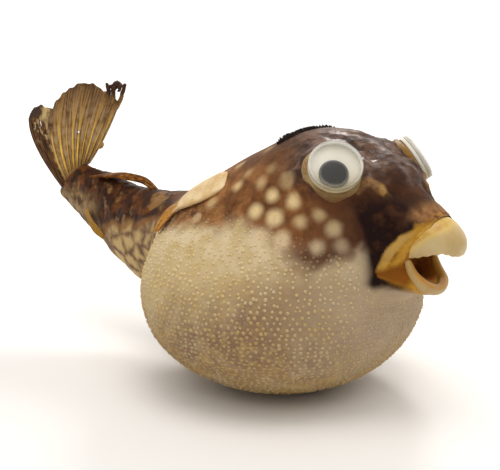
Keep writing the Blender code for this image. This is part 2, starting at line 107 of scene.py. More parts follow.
def new_finish(name):
    """A material, its node tree, and the place on the piece that its patterns read."""
    made = bpy.data.materials.new(name)
    made.use_nodes = True
    tree = made.node_tree
    return made, tree, add(tree, "ShaderNodeTexCoord").outputs["Object"]


def set_shader(tree, **values):
    """Sets or links the shader's inputs, named with _ for each space."""
    shader = tree.nodes["Principled BSDF"]
    for key, value in values.items():
        socket = shader.inputs[key.replace("_", " ")]
        if isinstance(value, bpy.types.NodeSocket):
            tree.links.new(value, socket)
        else:
            socket.default_value = value


# The sweep runs flat under the fish, and bends up behind it at BEND_AT with this radius.
AWAY, ASIDE = Vector((0.726, 0.687, 0)), Vector((0.687, -0.726, 0))
SWEEP_HALF_WIDTH, SWEEP_TOP, BEND_AT, BEND_RADIUS = 5.0, 3.5, 0.9, 0.7
bends = np.radians(np.linspace(0, 90, 25))
bend = [(BEND_AT + BEND_RADIUS * math.sin(t), BEND_RADIUS - BEND_RADIUS * math.cos(t)) for t in bends]
profile = [(-3.0, 0.0), (-0.6, 0.0), (0.0, 0.0), (0.6, 0.0), *bend, (BEND_AT + BEND_RADIUS, SWEEP_TOP)]
corners = [
    AWAY * along + ASIDE * side + Vector((0, 0, height))
    for along, height in profile
    for side in (-SWEEP_HALF_WIDTH, SWEEP_HALF_WIDTH)
]
sheet = bpy.data.meshes.new("pale_paper_sweep")
sheet.from_pydata(corners, [], [(2 * k, 2 * k + 1, 2 * k + 3, 2 * k + 2) for k in range(len(profile) - 1)])
sheet.shade_smooth()
paper_sweep = stood("pale_paper_sweep", sheet)
paper, tree, where = new_finish("pale_paper")
# Painted light: the paper glows, hardly at all under the fish and more and more towards the back, so that the
# backdrop looks white.
back = add(tree, "ShaderNodeVectorMath", {0: where, 1: AWAY}, operation="DOT_PRODUCT").outputs["Value"]
lit = add(tree, "ShaderNodeMapRange", {0: back, 1: -0.1, 2: 0.9}, interpolation_type="SMOOTHERSTEP")
set_shader(
    tree, Base_Color=(0.84, 0.83, 0.82, 1), Roughness=0.9, Emission_Strength=0.42,
    Emission_Color=lit.outputs[0],
)
sheet.materials.append(paper)

# ---------------------------------------------------------------- skin
# The dried hide is one piece from the lips to the root of the tail fin: a tapering trunk with the
# blown-up belly hung below it, a mouth cut into its front and rolled lips round that. It is grown
# as one closed form, and the folds, sockets and nostrils of the dried head are then pressed in.

MM = 0.001
# (place along the body, middle height, half width, half height) of the trunk, in millimetres.
TRUNK = (
    (-43.4, 46.6, 4.2, 2.8), (-41.8, 45.9, 6.2, 4.9), (-38.0, 45.0, 9.0, 8.4), (-32.5, 47.1, 13.6, 12.5),
    (-25.0, 48.3, 16.0, 15.7), (-13.0, 49.4, 21.5, 17.9), (4.0, 44.8, 22.1, 17.6), (22.0, 38.9, 18.4, 13.9),
    (39.0, 34.6, 12.6, 13.2), (56.0, 32.5, 8.8, 14.4), (68.0, 35.6, 6.8, 12.6), (80.0, 40.9, 5.0, 10.7),
    (95.2, 47.0, 2.8, 8.6),
)
BELLY = (0.0, 3.6, 24.4)
BELLY_HALF = (37.0, 36.5, 25.7, 30.0)  # wide, long, deep and tall
CHIN, CHIN_HALF = (0, -35.8, 34.4), (8.2, 6.0, 4.2)
ORBIT, ORBIT_RADIUS = (12.1, -21.8, 55.9), 7.8  # the swelling round each eye's socket
STEM_TURN = math.radians(50)  # how far the trunk's rings lean over at the root of the tail fin
# Middle line of each lip's roll, from the right corner of the mouth to the mid-plane.
UPPER_LIP = (
    (-9.0, -33.6, 36.4), (-8.9, -36.4, 41.4), (-7.0, -39.4, 45.8), (-3.8, -42.2, 48.0), (0, -43.1, 48.7),
)
LOWER_LIP = (
    (-8.9, -33.8, 35.6), (-8.1, -36.2, 34.2), (-6.0, -39.2, 33.0), (-3.1, -41.2, 32.3), (0, -41.8, 32.1),
)
BEAK = np.array([0.0, -39.8, 42.8])
BEAK_HALF = np.array([6.6, 9.3, 6.4])
MOUTH = (0.0, -40.6, 37.4)
MOUTH_HALF = (4.9, 8.4, 3.3)
# (half width, place, height, radius, depth) of the hollows, and of the bumps where depth is below 0.
DENTS = (
    (7.0, -32.8, 54.6, 1.4, -0.9), (7.6, -33.8, 53.4, 1.0, 0.8), (5.5, -28.5, 60.5, 3.0, 0.7),
    (3.0, -33.5, 57.5, 2.6, -0.5), (13.0, -31.5, 51.5, 3.4, 0.7), (11.5, -33.0, 43.0, 3.5, 0.5),
    (5.6, -25.6, 63.4, 4.0, 1.0), (6.3, -36.2, 54.2, 3.2, 1.2), (12.5, -31.0, 25.5, 5.0, -1.3),
    (3.5, 77.0, 31.5, 7.0, 0.7), (4.0, 33.0, 48.5, 6.0, 0.6),
)
# The fold of the dried lid in front of the right eye.
LID_FOLD = (
    (-13.6, -30.1, 55.0), (-11.8, -31.1, 56.4), (-10.5, -32.5, 55.8), (-9.3, -34.1, 54.4),
    (-8.5, -35.2, 53.3),
)
LIP_ON_BEAK = 1.075  # where the lip's inner edge lies, as a share of the beak's own half sizes
VOXEL = 0.42  # grain of the grid that the hide is grown on
KEPT = 0.56  # share of the grown faces that the finished hide keeps
COAT = 0.35  # how far the belly's hide lies inside its outline, which its prickles reach


def smooth_curve(table, places):
    """Each column of the table after the first, at these places, on smooth curves through its rows."""
    table = np.array(table, float)
    at, values = table[:, 0], table[:, 1:]
    slopes = np.gradient(values, at, axis=0)
    place = np.clip(places, at[0], at[-1])
    i = np.clip(np.searchsorted(at, place) - 1, 0, len(at) - 2)
    step = (at[i + 1] - at[i])[:, None]
    t = ((place - at[i]) / step[:, 0])[:, None]
    return (
        (2 * t**3 - 3 * t**2 + 1) * values[i]
        + (t**3 - 2 * t**2 + t) * step * slopes[i]
        + (3 * t**2 - 2 * t**3) * values[i + 1]
        + (t**3 - t**2) * step * slopes[i + 1]
    )


def through(points, steps):
    """Places on a smooth curve through the points."""
    points = np.array(points, float)
    numbered = np.column_stack([np.arange(len(points)), points])
    return smooth_curve(numbered, np.linspace(0, len(points) - 1, steps))


def widths_through(widths, steps):
    return through([[w] for w in widths], steps)[:, 0]


def eased(x, low, high):
    t = np.clip((x - low) / (high - low), 0, 1)
    return t * t * (3 - 2 * t)


def blended(a, b, fillet):
    """Two forms joined, with a fillet of this radius between them."""
    h = np.clip(0.5 + 0.5 * (b - a) / fillet, 0, 1)
    return b * (1 - h) + a * h - fillet * h * (1 - h)


def egg(x, y, z, centre, half):
    shares = [(at - middle) / reach for at, middle, reach in zip((x, y, z), centre, half)]
    return (np.sqrt(shares[0] ** 2 + shares[1] ** 2 + shares[2] ** 2) - 1) * half[2]


def body_field(x, across, half, place, height):
    """Below 0 inside the body, about 1 per millimetre outside it."""
    trunk = (np.hypot(x / half[0], across / half[1]) - 1) * min(half)
    deep = np.where(height > BELLY[2], BELLY_HALF[3], BELLY_HALF[2])
    belly = (egg(x, place, height, BELLY, (BELLY_HALF[0], BELLY_HALF[1], deep)) / deep) * BELLY_HALF[2]
    chin = egg(x, place, height, CHIN, CHIN_HALF)
    orbit = (np.abs(x) - ORBIT[0]) ** 2 + (place - ORBIT[1]) ** 2 + (height - ORBIT[2]) ** 2
    orbit = np.sqrt(orbit) - ORBIT_RADIUS
    return blended(blended(blended(trunk, chin, 2.5), orbit, 4.0), belly, 7.0)


def ringed(rings, ends):
    """A closed mesh of rings, with a fan over each end."""
    count, around = len(rings), len(rings[0])
    faces = []
    for i in range(count - 1):
        for j in range(around):
            k = (j + 1) % around
            faces.append((i * around + j, i * around + k, (i + 1) * around + k, (i + 1) * around + j))
    for j in range(around):
        k = (j + 1) % around
        faces.append((count * around, k, j))
        faces.append((count * around + 1, (count - 1) * around + j, (count - 1) * around + k))
    return np.concatenate([*rings, np.array(ends, float)]), faces


def new_piece(name, points, faces):
    """A mesh object from points in millimetres, with its faces turned outwards."""
    mesh = bpy.data.meshes.new(name)
    mesh.from_pydata((np.asarray(points, float) * MM).tolist(), [], faces)
    work = bmesh.new()
    work.from_mesh(mesh)
    bmesh.ops.recalc_face_normals(work, faces=work.faces)
    work.to_mesh(mesh)
    work.free()
    mesh.shade_smooth()
    return stood(name, mesh)


def finished(piece, name):
    """The piece with its modifiers applied, as a plain mesh in its place."""
    bpy.context.view_layer.update()
    graph = bpy.context.evaluated_depsgraph_get()
    mesh = bpy.data.meshes.new_from_object(piece.evaluated_get(graph))
    mesh.name = name
    piece.modifiers.clear()
    piece.data = mesh
    piece.name = name
    return piece


def trunk_and_belly(around=220, step=0.6):
    """Rings square to the trunk's line, each out to where the body ends."""
    first, last = TRUNK[0][0], TRUNK[-1][0]
    places = np.linspace(first, last, int((last - first) / step))
    angles = np.arange(around) * 2 * math.pi / around
    direction = np.stack([np.sin(angles), np.cos(angles)], axis=1)
    distances = np.linspace(60, 0, 161)
    rings = []
    for place, (middle, wide, tall) in zip(places, smooth_curve(TRUNK, places)):
        turn = STEM_TURN * eased(place, 60, last)
        up = np.array([0, -math.sin(turn), math.cos(turn)])

        def outermost(hub, way):
            side, across = way[:, 0, None] * distances, way[:, 1, None] * distances + hub
            field = body_field(side, across, (wide, tall), place + up[1] * across, middle + up[2] * across)
            k = np.argmax(field < 0, axis=1)
            rows = np.arange(len(way))
            outside, inside = field[rows, k - 1], field[rows, k]
            found = distances[k - 1] + outside / (outside - inside) * (distances[k] - distances[k - 1])
            return np.where(k > 0, found, 3.0)

        over, under = outermost(0.0, np.array([[0.0, 1.0], [0.0, -1.0]]))
        hub = (over - under) / 2
        away = outermost(hub, direction)
        spokes = direction[:, :1] * [1, 0, 0] + direction[:, 1:] * up
        rings.append(np.array([0, place, middle]) + hub * up + away[:, None] * spokes)
    return ringed(rings, [rings[0].mean(axis=0) - [0, 0.9, 0], rings[-1].mean(axis=0) + [0, 0.8, 0.9]])


def lip_roll(half_path, widths):
    """A rounded roll along a path that is mirrored at the mid-plane, and the path's places."""
    steps, around = 61, 20
    path = through([*half_path, *[(-x, y, z) for x, y, z in half_path[-2::-1]]], steps)
    radii = widths_through([*widths, *widths[-2::-1]], steps)
    ahead = np.gradient(path, axis=0)
    ahead /= np.linalg.norm(ahead, axis=1)[:, None]
    middle = path.mean(axis=0) + [0, 6, 0]
    rings = []
    for centre, radius, along in zip(path, radii, ahead):
        out = centre - middle
        out -= along * (out @ along)
        out /= np.linalg.norm(out)
        side = np.cross(along, out)
        turn = np.arange(around)[:, None] * 2 * math.pi / around
        rings.append(centre + radius * (np.cos(turn) * out + np.sin(turn) * side))
    return path, ringed(rings, [path[0] - ahead[0] * radii[0], path[-1] + ahead[-1] * radii[-1]])


def hollow(name, centre, half):
    """An egg that is cut out of the skin."""
    made = bmesh.new()
    bmesh.ops.create_icosphere(made, subdivisions=4, radius=1.0)
    mesh = bpy.data.meshes.new(name)
    made.to_mesh(mesh)
    made.free()
    mesh.transform(Matrix.Translation(Vector(centre) * MM) @ Matrix.Diagonal((*[h * MM for h in half], 1)))
    return stood(name, mesh)


def cut_out(piece, cutters, name):
    """The piece, finished, with the cutters taken out of it and removed."""
    for cutter in cutters:
        cut = piece.modifiers.new("cut", "BOOLEAN")
        cut.operation, cut.object, cut.solver = "DIFFERENCE", cutter, "MANIFOLD"
    finished(piece, name)
    for cutter in cutters:
        bpy.data.objects.remove(cutter)


skin = new_piece("skin_form", *trunk_and_belly())
rooms = [hollow("room_beak", BEAK, BEAK_HALF - 0.7), hollow("room_mouth", MOUTH, MOUTH_HALF)]
cut_out(skin, rooms, "skin_open")
upper_path, upper_roll = lip_roll(UPPER_LIP, (0.7, 1.2, 1.35, 1.2, 1.0))
lower_path, lower_roll = lip_roll(LOWER_LIP, (0.7, 1.15, 1.35, 1.25, 1.2))
joined = bmesh.new()
joined.from_mesh(skin.data)
for roll in (upper_roll, lower_roll):
    lip = new_piece("lip_form", *roll)
    joined.from_mesh(lip.data)
    bpy.data.objects.remove(lip)
joined.to_mesh(skin.data)
joined.free()
grown = skin.modifiers.new("one_hide", "REMESH")
grown.mode, grown.voxel_size, grown.use_smooth_shade = "VOXEL", VOXEL * MM, True
finished(skin, "skin")


def points_of(mesh):
    flat = np.empty(len(mesh.vertices) * 3)
    mesh.vertices.foreach_get("co", flat)
    return flat.reshape(-1, 3) / MM


def normals_of(mesh):
    flat = np.empty(len(mesh.vertices) * 3, np.float32)
    mesh.vertex_normals.foreach_get("vector", flat)
    return flat.reshape(-1, 3).astype(float)


def set_points(mesh, points):
    mesh.vertices.foreach_set("co", (points * MM).astype(np.float32).ravel())
    mesh.update()


def relaxed(mesh, points, rounds, share=0.5):
    """Each point moved towards the middle of its neighbours."""
    ends = np.empty(len(mesh.edges) * 2, np.int32)
    mesh.edges.foreach_get("vertices", ends)
    ends = ends.reshape(-1, 2)
    degree = np.bincount(ends.ravel(), minlength=len(points))[:, None]
    for _ in range(rounds):
        total = np.zeros_like(points)
        for axis in range(3):
            total[:, axis] = np.bincount(ends[:, 0], points[ends[:, 1], axis], len(points)) + np.bincount(
                ends[:, 1], points[ends[:, 0], axis], len(points)
            )
        points = points + share * (total / degree - points)
    return points


def grain(points, size, seed=0.0, rough=2):
    """Smooth noise from -1 to 1 with features of this size in millimetres."""
    shift = Vector((seed * 7.3, seed * 3.1, seed * 5.7))
    return np.array([noise.fractal(Vector(p / size) + shift, 0.9, 2.0, rough) for p in points])


def near_path(points, path):
    """How far each point is from the path's nearest point."""
    best = np.full(len(points), 1e9)
    for start in range(0, len(points), 20000):
        part = points[start : start + 20000, None, :]
        best[start : start + 20000] = np.sqrt(((part - path[None, :, :]) ** 2).sum(axis=2)).min(axis=1)
    return best


# Each eye's frame: down over the disc, across it, and out along its axis.
eyes = {}
for joint in frame["joints"]:
    side = "right" if "right" in joint["name"] else "left"
    axis = Vector(joint["axis"]).normalized()
    down = Vector((0, 0, -1))
    down = (down - axis * down.dot(axis)).normalized()
    turn = Matrix((down, axis.cross(down), axis)).transposed().to_4x4()
    eyes[side] = Matrix.Translation(Vector(joint["pos_m"])) @ turn


def in_eye(points, side):
    """The points in an eye's own frame, in millimetres, where its axis is the third."""
    inverse = np.array(eyes[side].inverted())
    return (points * MM) @ inverse[:3, :3].T / MM + inverse[:3, 3] / MM


def from_eye(local, side):
    place = np.array(eyes[side])
    return (local * MM) @ place[:3, :3].T / MM + place[:3, 3] / MM


hide = skin.data
skin_at = relaxed(hide, points_of(hide), 5)
set_points(hide, skin_at)
out = normals_of(hide)
x, y, z = skin_at.T
head = eased(y, -6, -20) * eased(z, 36, 44)
crown = eased(z, 50, 58) * eased(y, -4, -16)
stem = eased(y, 34, 48)
near_lip = np.minimum(near_path(skin_at, upper_path), near_path(skin_at, lower_path))
clear_of_lip = eased(near_lip, 2.0, 5.0)
fold = 1 - 2 * np.abs(grain(skin_at * [1, 1.6, 0.8], 5.5, 1))
lump = grain(skin_at, 9.0, 2)
crease = 1 - 2 * np.abs(grain(skin_at * [0.7, 0.8, 1.6], 3.6, 3))
lift = head * clear_of_lip * (0.16 * fold + 0.25 * lump) + crown * clear_of_lip * 0.20 * crease
lift += stem * (0.34 * lump + 0.16 * fold + 0.14 * crease * eased(z, 36, 44))
lift += (1 - head) * (1 - stem) * 0.18 * lump
lift -= COAT * (1 - eased(z, 42, 48)) * clear_of_lip * (1 - stem)


def pressed(centre, radius, depth):
    """A dent, or a bump where depth is below 0, on both sides of the fish."""
    away = np.sqrt((np.abs(x) - centre[0]) ** 2 + (y - centre[1]) ** 2 + (z - centre[2]) ** 2)
    return -depth * np.exp(-((away / radius) ** 2))


for *centre, radius, depth in DENTS:
    lift += pressed(centre, radius, depth)
lid_path = through(LID_FOLD, 40)
lift += 0.55 * np.exp(-((near_path(np.column_stack([-np.abs(x), y, z]), lid_path) / 0.9) ** 2))
skin_at = skin_at + out * lift[:, None]
for side in eyes:  # a flat seat for each eye, with a low ring round it
    local = in_eye(skin_at, side)
    from_axis = np.hypot(local[:, 0], local[:, 1])
    near = (from_axis < 12) & (np.abs(local[:, 2]) < 9)
    seat = 1 - eased(from_axis, 6.6, 8.8)
    ring = 0.45 * np.exp(-(((from_axis - 8.3) / 0.9) ** 2)) * near
    local[:, 2] += ring
    lowered = np.minimum(local[:, 2], -0.9)
    local[:, 2] = np.where(near, local[:, 2] + (lowered - local[:, 2]) * seat, local[:, 2])
    skin_at = np.where(near[:, None], from_eye(local, side), skin_at)
skin_at = relaxed(hide, skin_at, 1, 0.4)


def share_of(points, centre, half):
    """How far each point is from an egg's centre, where 1 is on the egg."""
    return np.sqrt((((points - centre) / half) ** 2).sum(axis=1))


into_beak = (1 - eased(share_of(skin_at, BEAK, BEAK_HALF), 1.22, 1.42))[:, None]
skin_at = skin_at + 0.85 * into_beak * (relaxed(hide, skin_at, 14) - skin_at)
from_beak = share_of(skin_at, BEAK, BEAK_HALF)
laid = (1 - eased(near_path(skin_at, upper_path), 2.2, 3.4)) * eased(skin_at[:, 2], 40.4, 41.4)
laid *= from_beak < LIP_ON_BEAK
skin_at = BEAK + (skin_at - BEAK) * (1 + laid * (LIP_ON_BEAK / np.maximum(from_beak, 0.5) - 1))[:, None]
skin_at[:, 2] = np.maximum(skin_at[:, 2], COAT)
set_points(hide, skin_at)
plain = skin.vertex_groups.new(name="plain")
calm = np.clip(1 - head - 0.4 * stem - 0.4 * eased(z, 30, 44), 0.1, 1)
for level in np.linspace(0.1, 1.0, 10):
    plain.add(np.flatnonzero(np.abs(calm - level) <= 0.05).tolist(), float(level), "REPLACE")
thinned = skin.modifiers.new("fewer_faces", "DECIMATE")
thinned.ratio, thinned.vertex_group, thinned.vertex_group_factor = KEPT, "plain", 1.0
finished(skin, "skin")
hide = skin.data
skin_at = points_of(hide)

# ---------------------------------------------------------------- markings
# The back and cheeks are brown with round cream spots, the snout nearly black, the crown a dull
# purple grey and the belly pale, and the tail stem is dark above with pale netted cells below.
# The same masks are laid on the hide and on its prickles.

# Middle across and along, half width and half length of the thorny patch.
NAPE, NAPE_HALF = (0.0, -5.8), (11.3, 3.9)
WART = (9.2, -34.1, 55.0)  # a cream wart below each lid fold
# (half width, place, height, radius, strength) of the cream spots.
SPOTS = (
    (20.9, -1.0, 53.9, 1.5, 0.8), (20.7, -8.4, 55.2, 1.7, 0.5), (18.8, -2.4, 56.9, 1.5, 0.4),
    (18.7, -9.8, 58.4, 1.6, 0.3), (19.3, -15.2, 56.1, 2.3, 0.35), (21.4, -12.3, 52.7, 1.7, 1.0),
    (20.1, -17.5, 51.7, 1.9, 1.0), (23.6, -9.1, 49.0, 2.0, 1.0), (22.4, -13.8, 47.8, 2.2, 1.0),
    (19.7, -19.1, 47.2, 1.6, 0.75), (18.0, -23.1, 49.1, 1.7, 0.6), (16.3, -25.9, 45.9, 2.1, 0.7),
    (22.8, -16.3, 43.3, 2.4, 0.9), (18.2, -22.7, 41.7, 1.8, 0.8), (24.9, -12.4, 43.7, 2.0, 0.6),
    (15.2, -27.2, 42.1, 1.9, 0.5), (23.6, 5.1, 49.6, 1.8, 0.5), (12.0, -3.0, 62.0, 1.8, 0.3),
)
REAR_CELL = 6.0  # room for one faint spot of the rear back
# (place, height) of the brown's lower edge, and of the upper edge of the stem's netted cells.
BROWN_EDGE = np.array((
    (-44, 42), (-31.9, 42.0), (-29.8, 41.8), (-28.2, 40.2), (-26.7, 38.6), (-23.3, 36.8), (-20, 38.9),
    (-17, 41.8), (-13.5, 44.4), (-10, 45.3), (-6, 46.2), (5, 44.5), (20, 42), (34, 40.5), (100, 30),
))
NET_EDGE = np.array(((30, 43.0), (45, 39.4), (61, 36.4), (72, 34.6), (80, 31.0), (96, 28.0)))


def lip_place(points, path):
    """How far each point is from a lip's middle line, how far outwards of it, and how far above."""
    ahead = np.gradient(path, axis=0)
    ahead /= np.linalg.norm(ahead, axis=1)[:, None]
    out = path - path.mean(axis=0) - [0, 6, 0]
    out -= ahead * (out * ahead).sum(axis=1)[:, None]
    out /= np.linalg.norm(out, axis=1)[:, None]
    away, around, above = np.full(len(points), 99.0), np.zeros(len(points)), np.zeros(len(points))
    near = np.flatnonzero(np.linalg.norm(points - BEAK, axis=1) < 18)
    gaps = points[near][:, None, :] - path[None]
    nearest = (gaps**2).sum(axis=2).argmin(axis=1)
    gap = gaps[np.arange(len(near)), nearest]
    gap = gap - ahead[nearest] * np.clip((gap * ahead[nearest]).sum(axis=1), -0.35, 0.35)[:, None]
    away[near], above[near] = np.linalg.norm(gap, axis=1), gap[:, 2]
    around[near] = (gap * out[nearest]).sum(axis=1) + gap[:, 1]
    return away, around, above


def rear_spots(points):
    """How far each point is from the nearest of the spots scattered one to a cell."""
    grid = points / REAR_CELL
    whole = np.floor(grid)
    nearest = np.full(len(points), 9.0)
    for shift in np.ndindex(3, 3, 3):
        corner = whole + np.array(shift) - 1
        scattered = np.sin(corner @ [[12.9, 39.3, 73.1], [78.2, 11.1, 52.2], [37.7, 83.1, 9.9]]) * 43758.5
        jitter = np.modf(np.abs(scattered))[0]
        nearest = np.minimum(nearest, np.linalg.norm(grid - corner - 0.2 - 0.6 * jitter, axis=1))
    return nearest * REAR_CELL


def hide_masks(points):
    """The share of each marking, from 0 to 1, at each point of the hide."""
    x, y, z = points.T
    wide = np.abs(x)
    soft, fine = grain(points, 6.0, 4), grain(points, 2.2, 5)
    masks = {}
    # back and cheeks
    masks["brown"] = eased(z - np.interp(y, *BROWN_EDGE.T) + 1.6 * soft + 0.8 * fine, -2.6, 2.2)
    spots = np.zeros(len(points))
    for *middle, radius, strength in SPOTS:
        away = np.linalg.norm(np.column_stack([wide, y, z]) - middle, axis=1) * (1 + 0.14 * fine)
        spots = np.maximum(spots, strength * (1 - eased(away, radius - 1.5, radius + 0.8)))
    rear = eased(y, -3, 6) * (1 - eased(y, 38, 46)) * eased(z, 40, 46)
    masks["spot"] = np.maximum(spots, 0.45 * rear * (1 - eased(rear_spots(points), 1.0, 2.0)))
    # snout and crown
    snout = 1 - eased(y + 31.4 - 2.4 * eased(z, 45, 52) + 0.35 * soft, -1.2, 1.3)
    snout *= eased(z + 0.6 * fine, 31.6, 33.6) * (1 - 0.75 * eased(z + 2.0 * soft, 50.0, 57.0))
    sooty = (1 - eased(y + 1.5 * soft, -30.5, -26.5)) * eased(z + soft, 42, 44.5) * (1 - eased(z, 50.5, 53))
    masks["dark"] = np.maximum(snout, 0.6 * sooty)
    masks["grey"] = eased(z + 1.5 * soft, 53.5, 59.5) * (1 - eased(y + 1.5 * soft, -17, -8))
    streak = np.abs(grain(points * [0.7, 0.8, 1.5], 4.6, 8))
    masks["vein"] = eased(z, 51, 56) * (1 - eased(y, -17, -13)) * (1 - eased(streak, 0.05, 0.22))
    masks["bridge"] = eased(z + soft, 46.8, 49.2) * (1 - eased(z + 1.2 * soft, 49.8, 53.8))
    masks["bridge"] *= eased(-y + 0.6 * soft, 37.5, 41.5)
    nape = ((x - NAPE[0]) / NAPE_HALF[0]) ** 2 + ((y - NAPE[1]) / NAPE_HALF[1]) ** 2
    masks["nape"] = (1 - eased(nape + 0.3 * fine, 0.75, 1.25)) * eased(z, 50, 55)
    lid = near_path(np.column_stack([-wide, y, z]), lid_path)
    masks["lid"] = (1 - eased(lid + 0.4 * fine, 0.6, 1.6)) * np.clip(0.85 + 0.3 * soft, 0, 1)
    # tail stem
    masks["stem"] = eased(y + 2.0 * soft, 30, 38)
    masks["net"] = (1 - eased(z - np.interp(y, *NET_EDGE.T) + 1.6 * soft, -2.2, 1.6)) * masks["stem"]
    masks["root"] = eased(y + soft, 73, 80) * (1 - eased(z + 1.5 * soft, 42, 46))
    # lips, which are golden outside, cream on the roll and burnt below the corner
    (upper, over, _), (lower, under, above) = lip_place(points, upper_path), lip_place(points, lower_path)
    lip, around = np.minimum(upper, lower), np.where(upper < lower, over, under)
    bare = 1.0 - 0.65 * (1 - eased(z, 34.5, 37)) - 0.6 * eased(z, 43, 46.5)
    rolled = around + 0.3 * fine * eased(z, 41, 46) + 0.15 * soft
    gold = (1 - eased(rolled, bare - 0.1, bare + 0.4)) * (1 - eased(lip, 3.6, 4.6)) * eased(-y, 31, 33)
    gold *= np.where(upper < lower, 1, eased(above + 0.3 * fine, -1.2, -0.5))
    low = z + 0.38 * (y + 34) + 0.3 * fine
    cream = gold * eased(around + 0.15 * fine, -0.5, 0.15) * (1 - eased(z, 44.5, 46.8))
    cream *= eased(low, 36.2, 37.6) * (0.45 + 0.55 * eased(z, 37.5, 41.5))
    wart = np.sqrt((wide - WART[0]) ** 2 + (y - WART[1]) ** 2 + (0.7 * (z - WART[2])) ** 2) + 0.3 * fine
    masks["cream"] = np.maximum(cream, 1 - eased(wart, 0.2, 1.3))
    masks["jaw"] = gold * (1 - eased(low, 36.0, 37.8)) * eased(y + 0.5 * soft, -40.5, -38.8)
    masks["gold"] = np.maximum(gold, 0.75 * (1 - eased(wart, 0.5, 1.5)))
    # mouth and cheek
    beak = share_of(points, BEAK, BEAK_HALF) + 0.5 * eased(z, 40.0, 41.5)
    masks["inside"] = 1 - eased(np.minimum(beak, share_of(points, MOUTH, MOUTH_HALF)), 0.98, 1.14)
    # Painted shade: a darker patch on the front flank of the belly, on each side.
    masks["shade"] = np.exp(-(((wide - 23) / 11) ** 2) - ((y + 21) / 11) ** 2 - ((z - 29) / 11) ** 2)
    return masks


def lay(mesh, key, values):
    mesh.attributes.new(key, "FLOAT", "POINT").data.foreach_set("value", np.asarray(values, np.float32))


def lay_masks(mesh, points):
    for name, values in hide_masks(points).items():
        lay(mesh, name, values)


lay_masks(hide, skin_at)


def mixed(tree, share, one, other, way="MIX"):
    values = {0: share}
    for index, colour in ((6, one), (7, other)):
        values[index] = colour if isinstance(colour, bpy.types.NodeSocket) else (*colour, 1)
    return add(tree, "ShaderNodeMix", values, data_type="RGBA", blend_type=way).outputs[2]


def sums(tree, way, one, other, clamp=False):
    return add(tree, "ShaderNodeMath", {0: one, 1: other}, operation=way, use_clamp=clamp).outputs[0]


def product(tree, *values):
    """The values multiplied, from the first on."""
    made = values[0]
    for value in values[1:]:
        made = sums(tree, "MULTIPLY", made, value)
    return made


def ranged(tree, value, low, high, to_low=0.0, to_high=1.0):
    return add(tree, "ShaderNodeMapRange", {0: value, 1: low, 2: high, 3: to_low, 4: to_high}).outputs[0]


def coated(tree, colour, *coats):
    """
    The colour under its coats, each (share, colour), or (value, low, high, most, colour) for a coat
    whose share grows up to most while the value goes from low to high.
    """
    for *how, coat in coats:
        share = how[0] if len(how) == 1 else ranged(tree, *how[:3], 0, how[3])
        colour = mixed(tree, share, colour, coat)
    return colour


def speckle(tree, where, size, detail=3.0, rough=0.55):
    """Noise with features of this size in millimetres."""
    values = {"Vector": where, "Scale": 1 / (size * MM), "Detail": detail, "Roughness": rough}
    return add(tree, "ShaderNodeTexNoise", values).outputs[0]


def stretched(tree, where, *scale):
    return add(tree, "ShaderNodeMapping", {"Vector": where, "Scale": scale}).outputs[0]


def parts(tree, where):
    """How far across, along and up a place is."""
    return add(tree, "ShaderNodeSeparateXYZ", {0: where}).outputs


def mask(tree, name):
    return add(tree, "ShaderNodeAttribute", attribute_name=name).outputs["Fac"]


def relief(tree, height, strength, distance):
    values = {"Height": height, "Strength": strength, "Distance": distance}
    return add(tree, "ShaderNodeBump", values).outputs[0]


def belly_colours(tree, where, place, height, middling, fine):
    """Tan below and cream above, partly painted shade of the lower belly, with ochre stains, pale clouds
    under the brown and a cheek in painted shade.
    """
    # Partly painted shade: by level, the height lifted towards the rear, the belly is tan at its foot, darker
    # at mid height and cream high up, which paints the light from above on top of the hide's own tan and
    # cream.
    level = sums(tree, "ADD", height, ranged(tree, speckle(tree, where, 14, 3), 0.3, 0.7, -0.005, 0.005))
    level = sums(tree, "ADD", level, ranged(tree, place, -0.016, 0.014, 0.0, 0.011))
    # Painted shade on the belly's front flank, mottled by the middling noise.
    shade = product(tree, mask(tree, "shade"), ranged(tree, middling, 0.3, 0.7, 0.7, 1.0))
    clouded = ranged(tree, speckle(tree, where, 4.5, 3), 0.43, 0.60, 0.0, 0.65)
    upright = stretched(tree, where, 0.45, 0.45, 1.3)
    return coated(
        tree, (0.36, 0.238, 0.118),
        (level, 0.010, 0.020, 1, (0.255, 0.158, 0.096)),
        (level, 0.024, 0.040, 1, (0.56, 0.435, 0.238)),
        (middling, 0.50, 0.66, 0.5, (0.50, 0.33, 0.12)),
        (speckle(tree, where, 5, 4), 0.50, 0.68, 0.35, (0.62, 0.50, 0.31)),
        (speckle(tree, upright, 0.9, 3), 0.53, 0.64, 0.55, (0.56, 0.40, 0.15)),
        (fine, 0.52, 0.75, 0.35, (0.66, 0.53, 0.32)),
        (shade, (0.30, 0.20, 0.115)),
        (place, -0.020, -0.031, 0.7, (0.43, 0.335, 0.23)),
        (product(tree, ranged(tree, height, 0.033, 0.041), clouded), (0.70, 0.58, 0.40)),
    )


def brown_colours(tree, where, place, height, middling, fine):
    """Red brown, darker on the cheek before the eye and near the crown, with blotches."""
    cheek = product(tree, ranged(tree, place, -0.0175, -0.0265), ranged(tree, middling, 0.3, 0.6, 0.8, 0.55))
    blotch = ranged(tree, speckle(tree, where, 6, 3), 0.46, 0.60, 0, 0.55)
    return coated(
        tree, (0.265, 0.104, 0.034),
        (place, -0.010, -0.002, 1, (0.32, 0.142, 0.046)),
        (height, 0.044, 0.040, 1, (0.20, 0.108, 0.062)),
        (middling, 0.42, 0.70, 1, (0.095, 0.034, 0.014)),
        (height, 0.056, 0.064, 1, (0.066, 0.027, 0.011)),
        (fine, 0.5, 0.8, 0.4, (0.34, 0.17, 0.06)),
        (cheek, (0.070, 0.029, 0.016)),
        (product(tree, blotch, ranged(tree, height, 0.043, 0.048)), (0.095, 0.032, 0.011)),
    )


